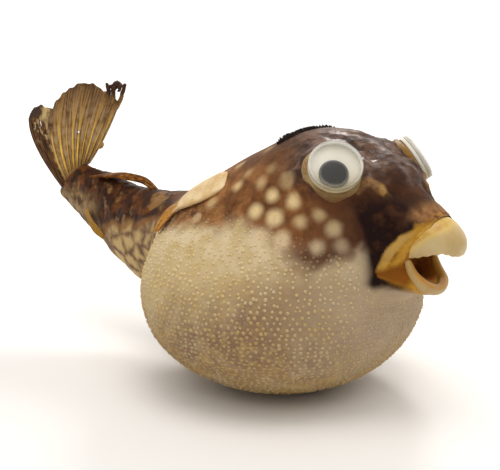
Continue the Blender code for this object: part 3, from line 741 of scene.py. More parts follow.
def stem_colours(tree, where, middling):
    """Near black above with amber patches, and pale netted cells below, with a warm band between."""
    ochre = coated(tree, (0.30, 0.19, 0.075), (middling, 0.42, 0.60, 1, (0.085, 0.040, 0.016)))
    upper = coated(
        tree, (0.035, 0.011, 0.004),
        (middling, 0.46, 0.68, 1, (0.155, 0.052, 0.010)),
        (speckle(tree, where, 6, 3), 0.57, 0.66, 0.75, (0.29, 0.16, 0.055)),
        (mask(tree, "root"), ochre),
    )
    wander = add(tree, "ShaderNodeTexNoise", {"Vector": where, "Scale": 260.0}).outputs[1]
    wander = add(tree, "ShaderNodeVectorMath", {0: wander, "Scale": 0.0016}, operation="SCALE").outputs[0]
    warped = {0: stretched(tree, where, 1.0, 0.70, 1.0), 1: wander}
    warped = add(tree, "ShaderNodeVectorMath", warped, operation="ADD").outputs[0]
    cells = {"Vector": warped, "Scale": 205.0, "Randomness": 0.8}
    cells = add(tree, "ShaderNodeTexVoronoi", cells, feature="DISTANCE_TO_EDGE").outputs[0]
    cells = sums(tree, "ADD", cells, ranged(tree, speckle(tree, where, 3, 3), 0.35, 0.65, -0.06, 0.12))
    under = coated(tree, (0.17, 0.094, 0.050), (cells, 0.02, 0.30, 1, (0.55, 0.385, 0.170)))
    net = mask(tree, "net")
    band = product(tree, net, sums(tree, "SUBTRACT", 1.0, net))
    band = sums(tree, "MULTIPLY", band, ranged(tree, middling, 0.35, 0.6, 3.2, 1.2), True)
    return coated(tree, upper, (net, under), (band, (0.27, 0.112, 0.026)))


def head_coats(tree, where, height, broad, middling, fine):
    """The grey crown, its veins and lid folds, the spots, the dark snout and its pale bridge."""
    vein = product(tree, mask(tree, "vein"), ranged(tree, middling, 0.35, 0.6, 0.3, 0.8))
    spot = product(tree, mask(tree, "spot"), ranged(tree, fine, 0.3, 0.7, 0.8, 1.0))
    ridged = speckle(tree, stretched(tree, where, 1.2, 0.8, 0.9), 2.4, 3)
    grey = coated(
        tree, (0.165, 0.092, 0.062),
        (middling, 0.40, 0.60, 1, (0.042, 0.021, 0.014)),
        (broad, 0.50, 0.6, 0.6, (0.115, 0.048, 0.022)),
    )
    lid = coated(tree, (0.46, 0.27, 0.10), (fine, 0.35, 0.65, 1, (0.22, 0.11, 0.045)))
    pale = coated(tree, (0.68, 0.53, 0.34), (height, 0.0425, 0.0485, 1, (0.78, 0.60, 0.31)))
    dark = coated(tree, (0.013, 0.004, 0.003), (middling, 0.5, 0.72, 1, (0.055, 0.020, 0.008)))
    ridge = coated(tree, (0.34, 0.172, 0.066), (ridged, 0.38, 0.66, 1, (0.14, 0.055, 0.021)))
    return (
        (mask(tree, "grey"), grey), (vein, (0.045, 0.024, 0.018)), (mask(tree, "lid"), lid), (spot, pale),
        (mask(tree, "dark"), dark), (mask(tree, "bridge"), ridge),
    )


def mouth_coats(tree, where, height, middling, fine):
    """The golden lips, burnt near the bridge, their orange corner and cream roll, and the mouth's inside."""
    burnt = coated(tree, (0.30, 0.15, 0.060), (fine, 0.4, 0.6, 1, (0.14, 0.050, 0.016)))
    patches = ranged(tree, speckle(tree, where, 1.6, 3), 0.36, 0.54)
    scorched = product(tree, ranged(tree, height, 0.0470, 0.0490), patches)
    gold = coated(
        tree, (0.52, 0.28, 0.035), (middling, 0.40, 0.60, 1, (0.26, 0.10, 0.012)), (scorched, burnt)
    )
    cream = product(tree, mask(tree, "cream"), ranged(tree, middling, 0.3, 0.6, 0.30, 0.85))
    inner = coated(tree, (0.30, 0.080, 0.016), (middling, 0.45, 0.65, 1, (0.52, 0.19, 0.03)))
    return (
        (mask(tree, "gold"), gold), (mask(tree, "jaw"), (0.22, 0.072, 0.005)), (cream, (0.51, 0.34, 0.11)),
        (product(tree, mask(tree, "nape"), 0.92), (0.018, 0.012, 0.009)), (mask(tree, "inside"), inner),
    )


def hide_paint():
    """The hide's colour, roughness, varnish and fine relief, as a group that hide and prickles share."""
    tree = bpy.data.node_groups.new("dried_hide", "ShaderNodeTree")
    tree.interface.new_socket("Relief", in_out="INPUT", socket_type="NodeSocketFloat").default_value = 1.0
    for name, kind in (("Color", "Color"), ("Roughness", "Float"), ("Varnish", "Float"), ("Height", "Float")):
        tree.interface.new_socket(name, in_out="OUTPUT", socket_type=f"NodeSocket{kind}")
    given = add(tree, "NodeGroupInput")
    where = add(tree, "ShaderNodeTexCoord").outputs["Object"]
    broad, middling, fine = (
        speckle(tree, where, 14, 3), speckle(tree, where, 4, 4, 0.6), speckle(tree, where, 0.9, 4, 0.65),
    )
    _, place, height = parts(tree, where)
    colour = coated(
        tree, belly_colours(tree, where, place, height, middling, fine),
        (mask(tree, "brown"), brown_colours(tree, where, place, height, middling, fine)),
        *head_coats(tree, where, height, broad, middling, fine),
        (mask(tree, "stem"), stem_colours(tree, where, middling)),
        *mouth_coats(tree, where, height, middling, fine),
    )
    crown = product(tree, mask(tree, "grey"), ranged(tree, place, -0.017, -0.023, 0.15, 1.0))
    upper_stem = sums(tree, "SUBTRACT", mask(tree, "stem"), mask(tree, "net"), True)
    wet = sums(tree, "MAXIMUM", upper_stem, crown)
    rough = sums(tree, "SUBTRACT", ranged(tree, fine, 0.3, 0.7, 0.52, 0.68), product(tree, wet, 0.1))
    dabs = ranged(tree, mask(tree, "stem"), 0, 1, 0.42, 0.09)
    dabs = product(tree, dabs, ranged(tree, middling, 0.42, 0.58, 1, 0))
    grit = sums(tree, "ADD", product(tree, fine, 0.5), product(tree, speckle(tree, where, 0.35, 2), 0.25))
    bumps = sums(tree, "ADD", grit, product(tree, wet, middling, 1.5))
    varnish = sums(tree, "MULTIPLY", wet, dabs, True)
    bumps = product(tree, bumps, given.outputs["Relief"])
    add(tree, "NodeGroupOutput", {"Color": colour, "Roughness": rough, "Varnish": varnish, "Height": bumps})
    return tree


hide_group = hide_paint()


def hide_finish(name, share, distance):
    """A finish in the hide's own markings, and its node tree and their colour."""
    made, tree, _ = new_finish(name)
    paint = add(tree, "ShaderNodeGroup", node_tree=hide_group)
    paint.inputs["Relief"].default_value = share
    colour, rough, varnish, height = paint.outputs
    set_shader(
        tree, Base_Color=colour, Roughness=rough, Coat_Weight=varnish, Coat_Roughness=0.14,
        Specular_IOR_Level=0.08, Normal=relief(tree, height, 0.6, distance),
    )
    return made, tree, colour


skin_finish, tree, _ = hide_finish("dried_skin", 1.0, 0.0005)
set_shader(tree, Subsurface_Weight=0.06, Subsurface_Radius=(0.002, 0.001, 0.0005))
hide.materials.clear()
hide.materials.append(skin_finish)
hide.shade_smooth()
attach(skin, "fish")
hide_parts("head", "back", "belly", "tail_stem", "upper_lip", "lower_lip")

# ---------------------------------------------------------------- belly prickles
# Short blunt spines stand in staggered rows all over the blown-up belly, each a low cream or
# amber mound that the dry hide has shrunk round. They are planted on the hide along its normals.

PATCH = 0.0013  # half of a prickle's own patch on the unwrap
ROW_TURN, PRICKLE_GAP = 2.6, 1.66  # degrees between rows, and millimetres between prickles in a row
MOUND_HALF, MOUND_TALL = 0.48, 0.33
rng = np.random.default_rng(7)
hide_tree = BVHTree.FromPolygons([Vector(p) for p in skin_at], [list(f.vertices) for f in hide.polygons])


def planted_tree(pointed):
    """Grows one prickle on each root point, upright on the hide."""
    tree = bpy.data.node_groups.new("planted_spikes" if pointed else "planted_mounds", "GeometryNodeTree")
    inputs = (("Roots", "Geometry"), ("Half Width", "Float"), ("Height", "Float"), ("Finish", "Material"))
    for name, kind in inputs:
        tree.interface.new_socket(name, in_out="INPUT", socket_type=f"NodeSocket{kind}")
    tree.interface.new_socket("Prickles", in_out="OUTPUT", socket_type="NodeSocketGeometry")
    roots, half_width, height, finish = add(tree, "NodeGroupInput").outputs[:4]
    if pointed:
        cone = {"Vertices": 5, "Radius Top": 0.0, "Radius Bottom": 1.0, "Depth": 1.0}
        grown = add(tree, "GeometryNodeMeshCone", cone).outputs["Mesh"]
    else:
        grown = add(tree, "GeometryNodeMeshIcoSphere", {"Radius": 1.0, "Subdivisions": 1}).outputs["Mesh"]
    lean = add(tree, "GeometryNodeInputNamedAttribute", {"Name": "lean"}, data_type="FLOAT_VECTOR").outputs[0]
    size = add(tree, "GeometryNodeInputNamedAttribute", {"Name": "size"}, data_type="FLOAT").outputs[0]
    upright = add(tree, "FunctionNodeAlignRotationToVector", {"Vector": lean}, axis="Z").outputs[0]
    wide, tall = product(tree, half_width, size), product(tree, height, size)
    scale = add(tree, "ShaderNodeCombineXYZ", {0: wide, 1: wide, 2: tall}).outputs[0]
    on_points = {"Points": roots, "Instance": grown, "Rotation": upright, "Scale": scale}
    planted_on = add(tree, "GeometryNodeInstanceOnPoints", on_points).outputs[0]
    real = add(tree, "GeometryNodeRealizeInstances", {"Geometry": planted_on}).outputs[0]
    coat = add(tree, "GeometryNodeSetMaterial", {"Geometry": real, "Material": finish}).outputs[0]
    add(tree, "NodeGroupOutput", {"Prickles": coat})
    return tree


def planted(name, pointed, roots, leans, sizes, unwrap, half_width, height, finish):
    """Prickles on these roots, with each one's patch of the unwrap and the hide's own masks."""
    mesh = bpy.data.meshes.new(name)
    mesh.from_pydata((roots * MM).tolist(), [], [])
    for key, values in (("lean", leans), ("root", roots), ("unwrap", np.column_stack([unwrap, 0 * sizes]))):
        layer = mesh.attributes.new(key, "FLOAT_VECTOR", "POINT")
        layer.data.foreach_set("vector", values.astype(np.float32).ravel())
    lay(mesh, "size", sizes)
    piece = stood(name, mesh)
    tree = planted_tree(pointed)
    grow = piece.modifiers.new("grow", "NODES")
    grow.node_group = tree
    sockets = {item.name: item.identifier for item in tree.interface.items_tree if item.in_out == "INPUT"}
    grow[sockets["Half Width"]], grow[sockets["Height"]] = half_width * MM, height * MM
    grow[sockets["Finish"]] = finish
    finished(piece, name)
    mesh = piece.data

    def vectors(key):
        flat = np.empty(len(mesh.vertices) * 3, np.float32)
        mesh.attributes[key].data.foreach_get("vector", flat)
        return flat.reshape(-1, 3).astype(float)

    root, lean, place = vectors("root"), vectors("lean"), vectors("unwrap")[:, :2]
    across = np.cross(lean, [0.31, 0.17, 0.93])
    across /= np.linalg.norm(across, axis=1)[:, None]
    from_root = points_of(mesh) - root
    offset = np.stack([(from_root * way).sum(axis=1) for way in (across, np.cross(lean, across))], axis=1)
    patch = place + offset * PATCH / (half_width * 1.2)
    corners = np.empty(len(mesh.loops), np.int32)
    mesh.loops.foreach_get("vertex_index", corners)
    while mesh.uv_layers:
        mesh.uv_layers.remove(mesh.uv_layers[0])
    mesh.uv_layers.new(name="OFBake").data.foreach_set("uv", patch[corners].astype(np.float32).ravel())
    for key in ("lean", "unwrap", "size", "root"):
        mesh.attributes.remove(mesh.attributes[key])
    lay_masks(mesh, root)
    if not pointed:
        mesh.shade_smooth()
    return piece, root


roots, leans, unwrap = [], [], []
lips = np.concatenate([upper_path, lower_path])
for row, latitude in enumerate(np.arange(-84.0, 56.0, ROW_TURN), start=1):
    level, tall = math.radians(latitude), BELLY_HALF[3] if latitude > 0 else BELLY_HALF[2]
    count = int(2 * math.pi * 36.7 * math.cos(level) / PRICKLE_GAP)
    for k in range(count):
        uneven = rng.uniform(-0.24, 0.24) * (1.5 if latitude > 8 else 1)
        turn = 2 * math.pi * (k + 0.5 * (row % 2) + uneven) / count
        here = level + rng.uniform(-0.010, 0.010) * (1.6 if latitude > 8 else 1)
        wide, long = BELLY_HALF[0] * math.cos(here), BELLY_HALF[1] * math.cos(here)
        out = Vector((wide * math.cos(turn), long * math.sin(turn), tall * math.sin(here)))
        place, normal, _, gap = hide_tree.find_nearest(Vector(BELLY) + out)
        if gap > 2.2 or place.z < 0.45 or rng.random() < 0.04:
            continue
        if near_path(np.array([place]), lips)[0] < 4.5:
            continue
        roots.append(place)
        leans.append(normal)
        ring = 0.48 * (latitude + 90) / 148
        unwrap.append((0.5 + ring * math.cos(turn), 0.5 + ring * math.sin(turn)))
roots, leans, unwrap = np.array(roots), np.array(leans), np.array(unwrap)
sizes = rng.uniform(0.72, 1.15, len(roots)) * (1 - 0.35 * eased(roots[:, 2], 36, 46))
sizes *= 1 - 0.35 * eased(-roots[:, 1], 26, 33)

mound_finish, tree, from_hide = hide_finish("belly_prickles", 0.4, 0.0002)
warm = mask(tree, "warm")
height = parts(tree, add(tree, "ShaderNodeTexCoord").outputs["Object"])[2]
# Partly painted light: the tips are paler high on the belly, like the hide there.
high_tip = coated(tree, (0.80, 0.67, 0.42), (warm, (0.74, 0.56, 0.25)))
tip = coated(tree, (0.68, 0.55, 0.35), (warm, (0.62, 0.43, 0.14)), (height, 0.025, 0.034, 1, high_tip))
tipped = sums(tree, "SUBTRACT", 0.5, product(tree, mask(tree, "brown"), 0.35))
set_shader(tree, Base_Color=coated(tree, from_hide, (tipped, tip)))
belly_prickles, planted_at = planted(
    "belly_prickles", False, roots, leans, sizes, unwrap, MOUND_HALF, MOUND_TALL, mound_finish
)
warmth = 0.5 + 0.9 * grain(planted_at, 8.0, 11) + 0.35 * grain(planted_at, 1.9, 12)
lay(belly_prickles.data, "warm", np.clip(warmth, 0, 1))
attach(belly_prickles, "fish")

# ---------------------------------------------------------------- nape prickles
# An oval patch of black, thorny prickles stands behind the crown, close together and uneven.
# Each is a five-sided thorn that leans its own way.

THORN_HALF, THORN_TALL = 0.42, 0.9
roots, leans, unwrap = [], [], []
for i in range(-24, 25):
    for j in range(-12, 13):
        across = NAPE[0] + 0.54 * (i + 0.5 * (j % 2)) + rng.uniform(-0.2, 0.2)
        along = NAPE[1] + 0.48 * j + rng.uniform(-0.2, 0.2)
        inside = ((across - NAPE[0]) / NAPE_HALF[0]) ** 2 + ((along - NAPE[1]) / NAPE_HALF[1]) ** 2
        if inside > rng.uniform(0.75, 1.1):
            continue
        place, normal, _, _ = hide_tree.ray_cast(Vector((across, along, 90)), Vector((0, 0, -1)))
        lean = Vector((rng.uniform(-0.35, 0.35), rng.uniform(0, 0.5), rng.uniform(-0.2, 0.2)))
        roots.append(place - normal * 0.1)
        leans.append((normal + lean).normalized())
        unwrap.append((0.5 + across * 0.02, 0.5 + along * 0.02))
roots, leans, unwrap = np.array(roots), np.array(leans), np.array(unwrap)
thorn_finish, tree, from_hide = hide_finish("nape_prickles", 0.5, 0.0002)
set_shader(tree, Base_Color=coated(tree, from_hide, (0.9, (0.016, 0.010, 0.008))))
sizes = rng.uniform(0.7, 1.35, len(roots))
nape_prickles, _ = planted(
    "nape_prickles", True, roots, leans, sizes, unwrap, THORN_HALF, THORN_TALL, thorn_finish
)
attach(nape_prickles, "fish")

# ---------------------------------------------------------------- beak
# Two tooth plates of worn ivory. The upper one is a blunt half dome that grows out of the golden
# lip, hollow below, and the lower one a thick curved rim inside the lower lip.

BEAK_WALL, BEAK_EDGE, EDGE_ROUND = 2.2, 40.95, 0.6
LOWER_PLATE = (
    (-5.5, -38.3, 38.8), (-5.2, -39.6, 35.9), (-4.2, -41.5, 33.6), (-2.2, -42.5, 32.6), (0, -42.9, 32.2),
)


def ivory_finish(name, bump):
    made, tree, where = new_finish(name)
    broad, fine = speckle(tree, where, 5, 3), speckle(tree, where, 0.8, 3)
    ivory = coated(
        tree, (0.56, 0.42, 0.20),
        (broad, 0.35, 0.65, 1, (0.49, 0.34, 0.14)),
        (fine, 0.5, 0.8, 0.25, (0.64, 0.51, 0.29)),
    )
    set_shader(tree, Normal=relief(tree, broad, bump, 0.0006))
    return made, tree, where, broad, fine, ivory


upper_ivory, tree, where, broad, fine, ivory = ivory_finish("upper_ivory", 0.25)
rooted = sums(tree, "ADD", mask(tree, "rooted"), ranged(tree, broad, 0.3, 0.7, -0.2, 0.2))
gum = coated(tree, (0.60, 0.38, 0.07), (speckle(tree, where, 1.6, 3), 0.4, 0.62, 1, (0.50, 0.26, 0.035)))
colour = coated(
    tree, ivory, (rooted, 0.25, 0.75, 1, (0.63, 0.44, 0.13)), (rooted, 0.80, 1.1, 1, gum),
    (mask(tree, "within"), (0.16, 0.055, 0.012)),
)
set_shader(
    tree, Base_Color=colour, Roughness=ranged(tree, fine, 0.3, 0.7, 0.30, 0.46),
    Subsurface_Weight=0.1, Subsurface_Radius=(0.002, 0.0012, 0.0006),
)


def dome_place(half, level, turn):
    """A place on an egg at a level, as a share of its half height, and a turn from its front."""
    around = math.sqrt(1 - level**2)
    return np.array([half[0] * around * math.sin(turn), -half[1] * around * math.cos(turn), half[2] * level])


def upper_beak():
    """Points, faces, and how far each point is inside the dome."""
    inner_half = BEAK_HALF - BEAK_WALL
    falling, rising = (np.sin(np.linspace(*ends) * math.pi / 2) for ends in ((1, 0, 22), (0, 1, 16)))
    round_edge = np.linspace(0, math.pi, 9)[1:-1]
    points, within = [], []
    turns = np.radians(np.linspace(-100, 100, 81))
    for turn in turns:
        side = abs(turn) / turns[-1]
        edge = BEAK_EDGE - BEAK[2] + 0.75 * math.exp(-(((side - 0.42) / 0.2) ** 2))
        edge += 0.12 * math.sin(23 * turn) - 0.9 * eased(side, 0.62, 1.0)
        low, low_in = edge / BEAK_HALF[2], max(edge / inner_half[2], -0.98)
        outer_at, inner_at = dome_place(BEAK_HALF, low, turn), dome_place(inner_half, low_in, turn)
        points += [dome_place(BEAK_HALF, low + (0.999 - low) * rise, turn) for rise in falling]
        for bend in round_edge:
            share = (1 - math.cos(bend)) / 2
            level = edge - EDGE_ROUND * math.sin(bend)
            points.append([*(outer_at + (inner_at - outer_at) * share)[:2], level])
            within.append(share)
        points += [dome_place(inner_half, low_in + (0.999 - low_in) * rise, turn) for rise in rising]
    columns = len(points) // len(turns)
    within = np.array(within).reshape(len(turns), -1)
    outside, inside = np.zeros((len(turns), len(falling))), np.ones((len(turns), len(rising)))
    within = np.column_stack([outside, within, inside])
    faces = []
    for start in range(0, len(points) - columns, columns):
        strip = range(start, start + columns - 1)
        faces += [(a, a + 1, a + columns + 1, a + columns) for a in strip]
        b = start + columns - 1
        faces.append((start, start + columns, b + columns, b))
    faces += [tuple(range(columns - 1, -1, -1)), tuple(range(len(points) - columns, len(points)))]
    return np.array(points) + BEAK, faces, within.ravel()


beak_points, beak_faces, within = upper_beak()
beak_upper = new_piece("beak_upper_plate", beak_points, beak_faces)
from_lip = near_path(beak_points, upper_path)
lay(beak_upper.data, "within", eased(within, 0.35, 0.9))
lay(beak_upper.data, "rooted", 1 - eased(from_lip, 2.6, 5.6))
level = beak_points[:, 2]
swell = 0.085 * (1 - eased(from_lip, 1.5, 4.4)) * (1 - 0.6 * eased(level, 45.0, 48.0))
swell *= (within < 0.05) * eased(level, 40.6, 42.0)
set_points(beak_upper.data, BEAK + (beak_points - BEAK) * (1 + swell)[:, None])
beak_upper.data.set_sharp_from_angle(angle=math.radians(60))

lower_ivory, tree, where, broad, fine, ivory = ivory_finish("lower_ivory", 0.3)
worn = mixed(tree, 1.0, ivory, (0.84, 0.78, 0.68), "MULTIPLY")
stain = product(tree, mask(tree, "within"), 1.6)
stain = sums(tree, "ADD", stain, ranged(tree, broad, 0.3, 0.7, -0.25, 0.15), True)
colour = coated(tree, worn, (stain, (0.52, 0.25, 0.035)))
set_shader(tree, Base_Color=colour, Roughness=ranged(tree, fine, 0.3, 0.7, 0.30, 0.48))
_, plate = lip_roll(LOWER_PLATE, (0.8, 1.2, 1.5, 1.4, 1.25))
beak_lower = new_piece("beak_lower_plate", *plate)
outwards = points_of(beak_lower.data) - [0, -36.0, 37.5]
outwards /= np.linalg.norm(outwards, axis=1)[:, None]
facing_in = -(normals_of(beak_lower.data) * outwards).sum(axis=1)
lay(beak_lower.data, "within", eased(facing_in, -0.95, -0.4))
for piece, finish, node in ((beak_upper, upper_ivory, "beak_upper"), (beak_lower, lower_ivory, "beak_lower")):
    piece.data.materials.append(finish)
    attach(piece, "fish")
    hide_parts(node)

# ---------------------------------------------------------------- craft eyes
# A stick-on craft eye over each dried socket: a white plastic disc, a clear blown dome with an
# upright wall, and a loose dark disc between them that has dropped to the lower edge. A ring of
# pale dried skin and amber glue holds it.

EYE_RADIUS, BACKING, EYE_HEIGHT, EYE_WALL = 6.0, 0.9, 3.6, 0.5
SQUARER = 0.8  # below 1 the dome bulges at its shoulder
PUPIL_RADIUS, PUPIL_THICK, PUPIL_SLIDE = 3.25, 0.7, 2.0
ROLL = {"right": math.radians(-14), "left": 0.0}
SOCKET_RIM = (
    (0, -3.0), (6.3, -3.0), (6.75, -2.3), (6.8, -1.6), (6.7, -0.9), (6.4, -0.35), (5.9, -0.05),
    (5.2, -0.1), (0, -0.1),
)


def turned(name, profile, side, around=96, shift=(0.0, 0.0), wobble=0.0):
    """A piece turned about an eye's axis from (radius, height) pairs that start and end on it."""
    turn = np.arange(around) * 2 * math.pi / around
    rings = []
    for radius, height in profile[1:-1]:
        reach = radius * (1 + wobble * (np.sin(3 * turn + 1) + 0.7 * np.sin(5 * turn + 2 * height)) / 6)
        one, two = reach * np.cos(turn) + shift[0], reach * np.sin(turn) + shift[1]
        rings.append(np.stack([one, two, height + wobble * 0.25 * np.sin(4 * turn)], axis=1))
    points, faces = ringed(rings, [(*shift, profile[0][1]), (*shift, profile[-1][1])])
    return new_piece(name, from_eye(points, side), faces)


def hoop(name, profile, side, around=96):
    """A ring turned about an eye's axis from a closed outline of (radius, height) corners."""
    turn = np.arange(around) * 2 * math.pi / around
    one, two = np.cos(turn), np.sin(turn)
    rings = [np.stack([radius * one, radius * two, height + 0 * turn], axis=1) for radius, height in profile]
    count, faces = len(profile), []
    for i in range(count):
        a, b = i * around, (i + 1) % count * around
        faces += [(a + j, a + (j + 1) % around, b + (j + 1) % around, b + j) for j in range(around)]
    return new_piece(name, from_eye(np.concatenate(rings), side), faces)


def rounded(radius, low, high, edge):
    """The profile of a disc with rounded edges."""
    bends = np.linspace(0, math.pi / 2, 5)
    lower = [(radius - edge + edge * math.sin(t), low + edge - edge * math.cos(t)) for t in bends]
    upper = [(radius - edge + edge * math.cos(t), high - edge + edge * math.sin(t)) for t in bends]
    return [(0, low), (radius * 0.5, low), *lower, *upper, (radius * 0.5, high), (0, high)]


def blown(radius, low, high):
    """The profile of a dome from its shoulder to its top."""
    bends = np.linspace(0, math.pi / 2, 20)
    return [(radius * math.cos(t) ** SQUARER, low + (high - low) * math.sin(t)) for t in bends]


white, tree, where = new_finish("white_plastic")
colour = coated(
    tree, (0.78, 0.75, 0.66),
    (speckle(tree, where, 5, 3), 0.35, 0.65, 1, (0.70, 0.66, 0.56)),
    # Painted shade: the white backing turns tan towards the lower edge of the eye.
    (parts(tree, where)[2], 0.0595, 0.0545, 1, (0.46, 0.37, 0.21)),
)
rough = ranged(tree, speckle(tree, where, 0.6, 3), 0.3, 0.7, 0.38, 0.52)
set_shader(tree, Base_Color=colour, Roughness=rough)

clear, tree, where = new_finish("clear_plastic")
colour = coated(
    tree, (0.88, 0.87, 0.82),
    (speckle(tree, where, 3, 3), 0.4, 0.7, 1, (0.78, 0.77, 0.72)),
    # Painted shade: the dome turns tan towards the lower edge of the eye.
    (mask(tree, "low"), 0.1, 0.95, 0.9, (0.36, 0.30, 0.17)),
)
set_shader(
    tree, Base_Color=colour, Alpha=ranged(tree, mask(tree, "side"), 0.0, 1.0, 0.008, 0.50),
    Specular_IOR_Level=0.3, Roughness=ranged(tree, speckle(tree, where, 1.2, 3), 0.35, 0.7, 0.28, 0.36),
)

frosted, tree, where = new_finish("frosted_wall")
colour = coated(
    tree, (0.74, 0.72, 0.66),
    (speckle(tree, where, 2.5, 3), 0.35, 0.65, 1, (0.64, 0.62, 0.55)),
    # Painted shade: the wall turns tan towards the lower edge of the eye.
    (mask(tree, "low"), 0.1, 0.95, 0.9, (0.36, 0.30, 0.17)),
)
rough = ranged(tree, speckle(tree, where, 0.6, 3), 0.3, 0.7, 0.24, 0.36)
set_shader(tree, Base_Color=colour, Roughness=rough)

black, tree, where = new_finish("dark_disc")
colour = coated(
    tree, (0.007, 0.007, 0.007),
    (speckle(tree, where, 1.5, 3), 0.4, 0.65, 1, (0.014, 0.014, 0.014)),
    (mask(tree, "from_middle"), 0.80, 1.0, 1, (0.17, 0.165, 0.15)),
)
set_shader(
    tree, Base_Color=colour, Specular_IOR_Level=0.3,
    Roughness=ranged(tree, speckle(tree, where, 0.5, 2), 0.3, 0.7, 0.32, 0.42),
)

amber, tree, where = new_finish("dried_rim_and_glue")
across, _, height = parts(tree, where)
left_rim = coated(tree, (0.34, 0.20, 0.06), (height, 0.053, 0.060, 1, (0.24, 0.12, 0.022)))
colour = coated(
    tree, (0.42, 0.31, 0.15),
    (speckle(tree, where, 3, 4), 0.44, 0.66, 1, (0.27, 0.16, 0.06)),
    (speckle(tree, where, 0.9, 3), 0.55, 0.75, 0.4, (0.56, 0.44, 0.26)),
    # Darker brown towards the bottom: partly the glue's own colour, partly painted shade under the eye.
    (height, 0.0570, 0.0530, 0.9, (0.15, 0.078, 0.024)),
    (across, -0.001, 0.001, 0.95, left_rim),
)
set_shader(
    tree, Base_Color=colour, Specular_IOR_Level=0.12,
    Roughness=ranged(tree, speckle(tree, where, 1.0, 3), 0.3, 0.7, 0.30, 0.55),
    Normal=relief(tree, speckle(tree, where, 0.8, 4), 0.6, 0.0006),
)

for side in ("right", "left"):
    backing = turned(f"eye_white_{side}", rounded(EYE_RADIUS, 0.0, BACKING, 0.2), side)
    hollow_radius, low = EYE_RADIUS - EYE_WALL, BACKING + 0.05
    shoulder, stand = low + 0.95, low + 0.8
    outer = blown(EYE_RADIUS, shoulder, EYE_HEIGHT)
    inner = blown(hollow_radius, shoulder, EYE_HEIGHT - EYE_WALL)
    foot = [(EYE_RADIUS, stand + 0.04), (hollow_radius, stand + 0.04)]
    outline = [*outer[::-1], *foot, *inner[:-1], (0, inner[-1][1])]
    dome = turned(f"eye_clear_{side}", outline, side, around=180)
    lay(dome.data, "side", 1 - eased(in_eye(points_of(dome.data), side)[:, 2], 1.9, 2.7))
    outline = [
        (hollow_radius, low), (EYE_RADIUS - 0.1, low), (EYE_RADIUS, low + 0.1), (EYE_RADIUS, stand),
        (EYE_RADIUS - 0.15, stand), (hollow_radius, low + 0.15),
    ]
    wall = hoop(f"eye_wall_{side}", outline, side)
    # low grows towards the lower edge of the eye, where the dome and wall carry painted shade.
    for piece in (dome, wall):
        lay(piece.data, "low", in_eye(points_of(piece.data), side)[:, 0] / EYE_RADIUS)
    slide = (PUPIL_SLIDE * math.cos(ROLL[side]), PUPIL_SLIDE * math.sin(ROLL[side]))
    base = BACKING + 0.12
    outline = rounded(PUPIL_RADIUS, base, base + PUPIL_THICK, 0.15)
    disc = turned(f"eye_disc_{side}", outline, side, shift=slide)
    from_middle = np.linalg.norm(in_eye(points_of(disc.data), side)[:, :2] - slide, axis=1)
    lay(disc.data, "from_middle", from_middle / PUPIL_RADIUS)
    rim = turned(f"socket_rim_{side}", SOCKET_RIM, side, wobble=0.25)
    for piece, finish, node, slot, body in (
        (backing, white, "eye_backing", "eye_white", "fish"), (dome, clear, "eye_dome", "eye_clear", "fish"),
        (wall, frosted, "eye_dome", "eye_clear", "fish"),
        (disc, black, "eye_pupil", "eye_pupil", f"pupil_{side}"), (rim, amber, "eye_rim", "eye_rim", "fish"),
    ):
        piece.data.materials.append(finish)
        piece.data.set_sharp_from_angle(angle=math.radians(50))
        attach(piece, body)
        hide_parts(f"{node}_{side}")

# ---------------------------------------------------------------- tail fin
# A stiff fan of golden rays in a thin grey-brown web, dried with ripples. Each ray forks on its way
# to the worn outer edge. The lower lobe has split off, dark with a pale rim, and the uppermost
# rays have curled into dark tips round a hole.

FIN_ROOT, FIN_TURN = np.array([0.0, 95.0, 45.1]), math.radians(28)
ALONG_FIN = np.array([-math.sin(FIN_TURN), math.cos(FIN_TURN), 0])
FACING_FIN = np.array([math.cos(FIN_TURN), math.sin(FIN_TURN), 0])
UPWARDS = np.array([0, 0, 1])
FIN_FOOT = np.array(((4.6, -1.0), (-6.0, 7.4)))
FIN_SIDE = np.array(((16.6, 13.6), (-14.2, 18.2)))
# (share from the lower to the upper edge, across, up) of the worn edge.
FIN_EDGE = np.array((
    (0.00, 16.5, 22.0), (0.05, 14.6, 25.3), (0.10, 11.9, 26.5), (0.15, 10.0, 25.3), (0.21, 6.6, 25.0),
    (0.225, 5.9, 27.0), (0.30, 3.8, 29.3), (0.36, 1.9, 30.6), (0.43, -0.8, 32.2), (0.50, -3.4, 33.2),
    (0.63, -7.7, 33.4), (0.69, -9.6, 31.4), (0.74, -11.2, 30.9), (0.80, -12.6, 30.4),
    (0.88, -14.6, 28.8), (1.00, -16.8, 27.4),
))
RAYS = 11
# (across, up, half width, half height, tilt) of the holes.
HOLES = ((-2.4, 17.5, 0.42, 0.5, 0.0), (12.0, 20.2, 0.35, 1.3, -0.3))
# (across, up) places and half widths of the curled ends of the uppermost rays.
CURLED = (
    ((-12, 22), (-14.6, 24.6), (-16.4, 27), (-17.6, 29.6), (-18.9, 33)), (0.75, 0.8, 0.75, 0.65, 0.6),
    ((-11.6, 24), (-12.6, 28), (-13.1, 31), (-12.6, 33.3)), (0.7, 0.8, 0.75, 0.5),
    ((-14.6, 27), (-14.9, 29), (-14.6, 31), (-15.2, 32.2), (-16.2, 34)), (0.5, 0.6, 0.8, 0.9, 0.5),
    ((-12.8, 32.4), (-14.4, 32.2), (-15.9, 33.2), (-17.2, 32.6), (-18.6, 32.2)), (0.5, 0.8, 1, 0.75, 0.5),
    ((-15.9, 33), (-16.8, 31.9), (-16.9, 31.1), (-16.4, 30.7)), (0.7, 0.7, 0.5, 0.3),
)
SCRAP = ((-6.0, 12.2), (-7.8, 13.0), (-9.3, 13.9), (-10.2, 13.5), (-9.9, 12.7), (-9.0, 12.3), (-8.2, 11.7))
SCRAP_WIDE = (0.3, 0.5, 0.55, 0.5, 0.45, 0.4, 0.25)


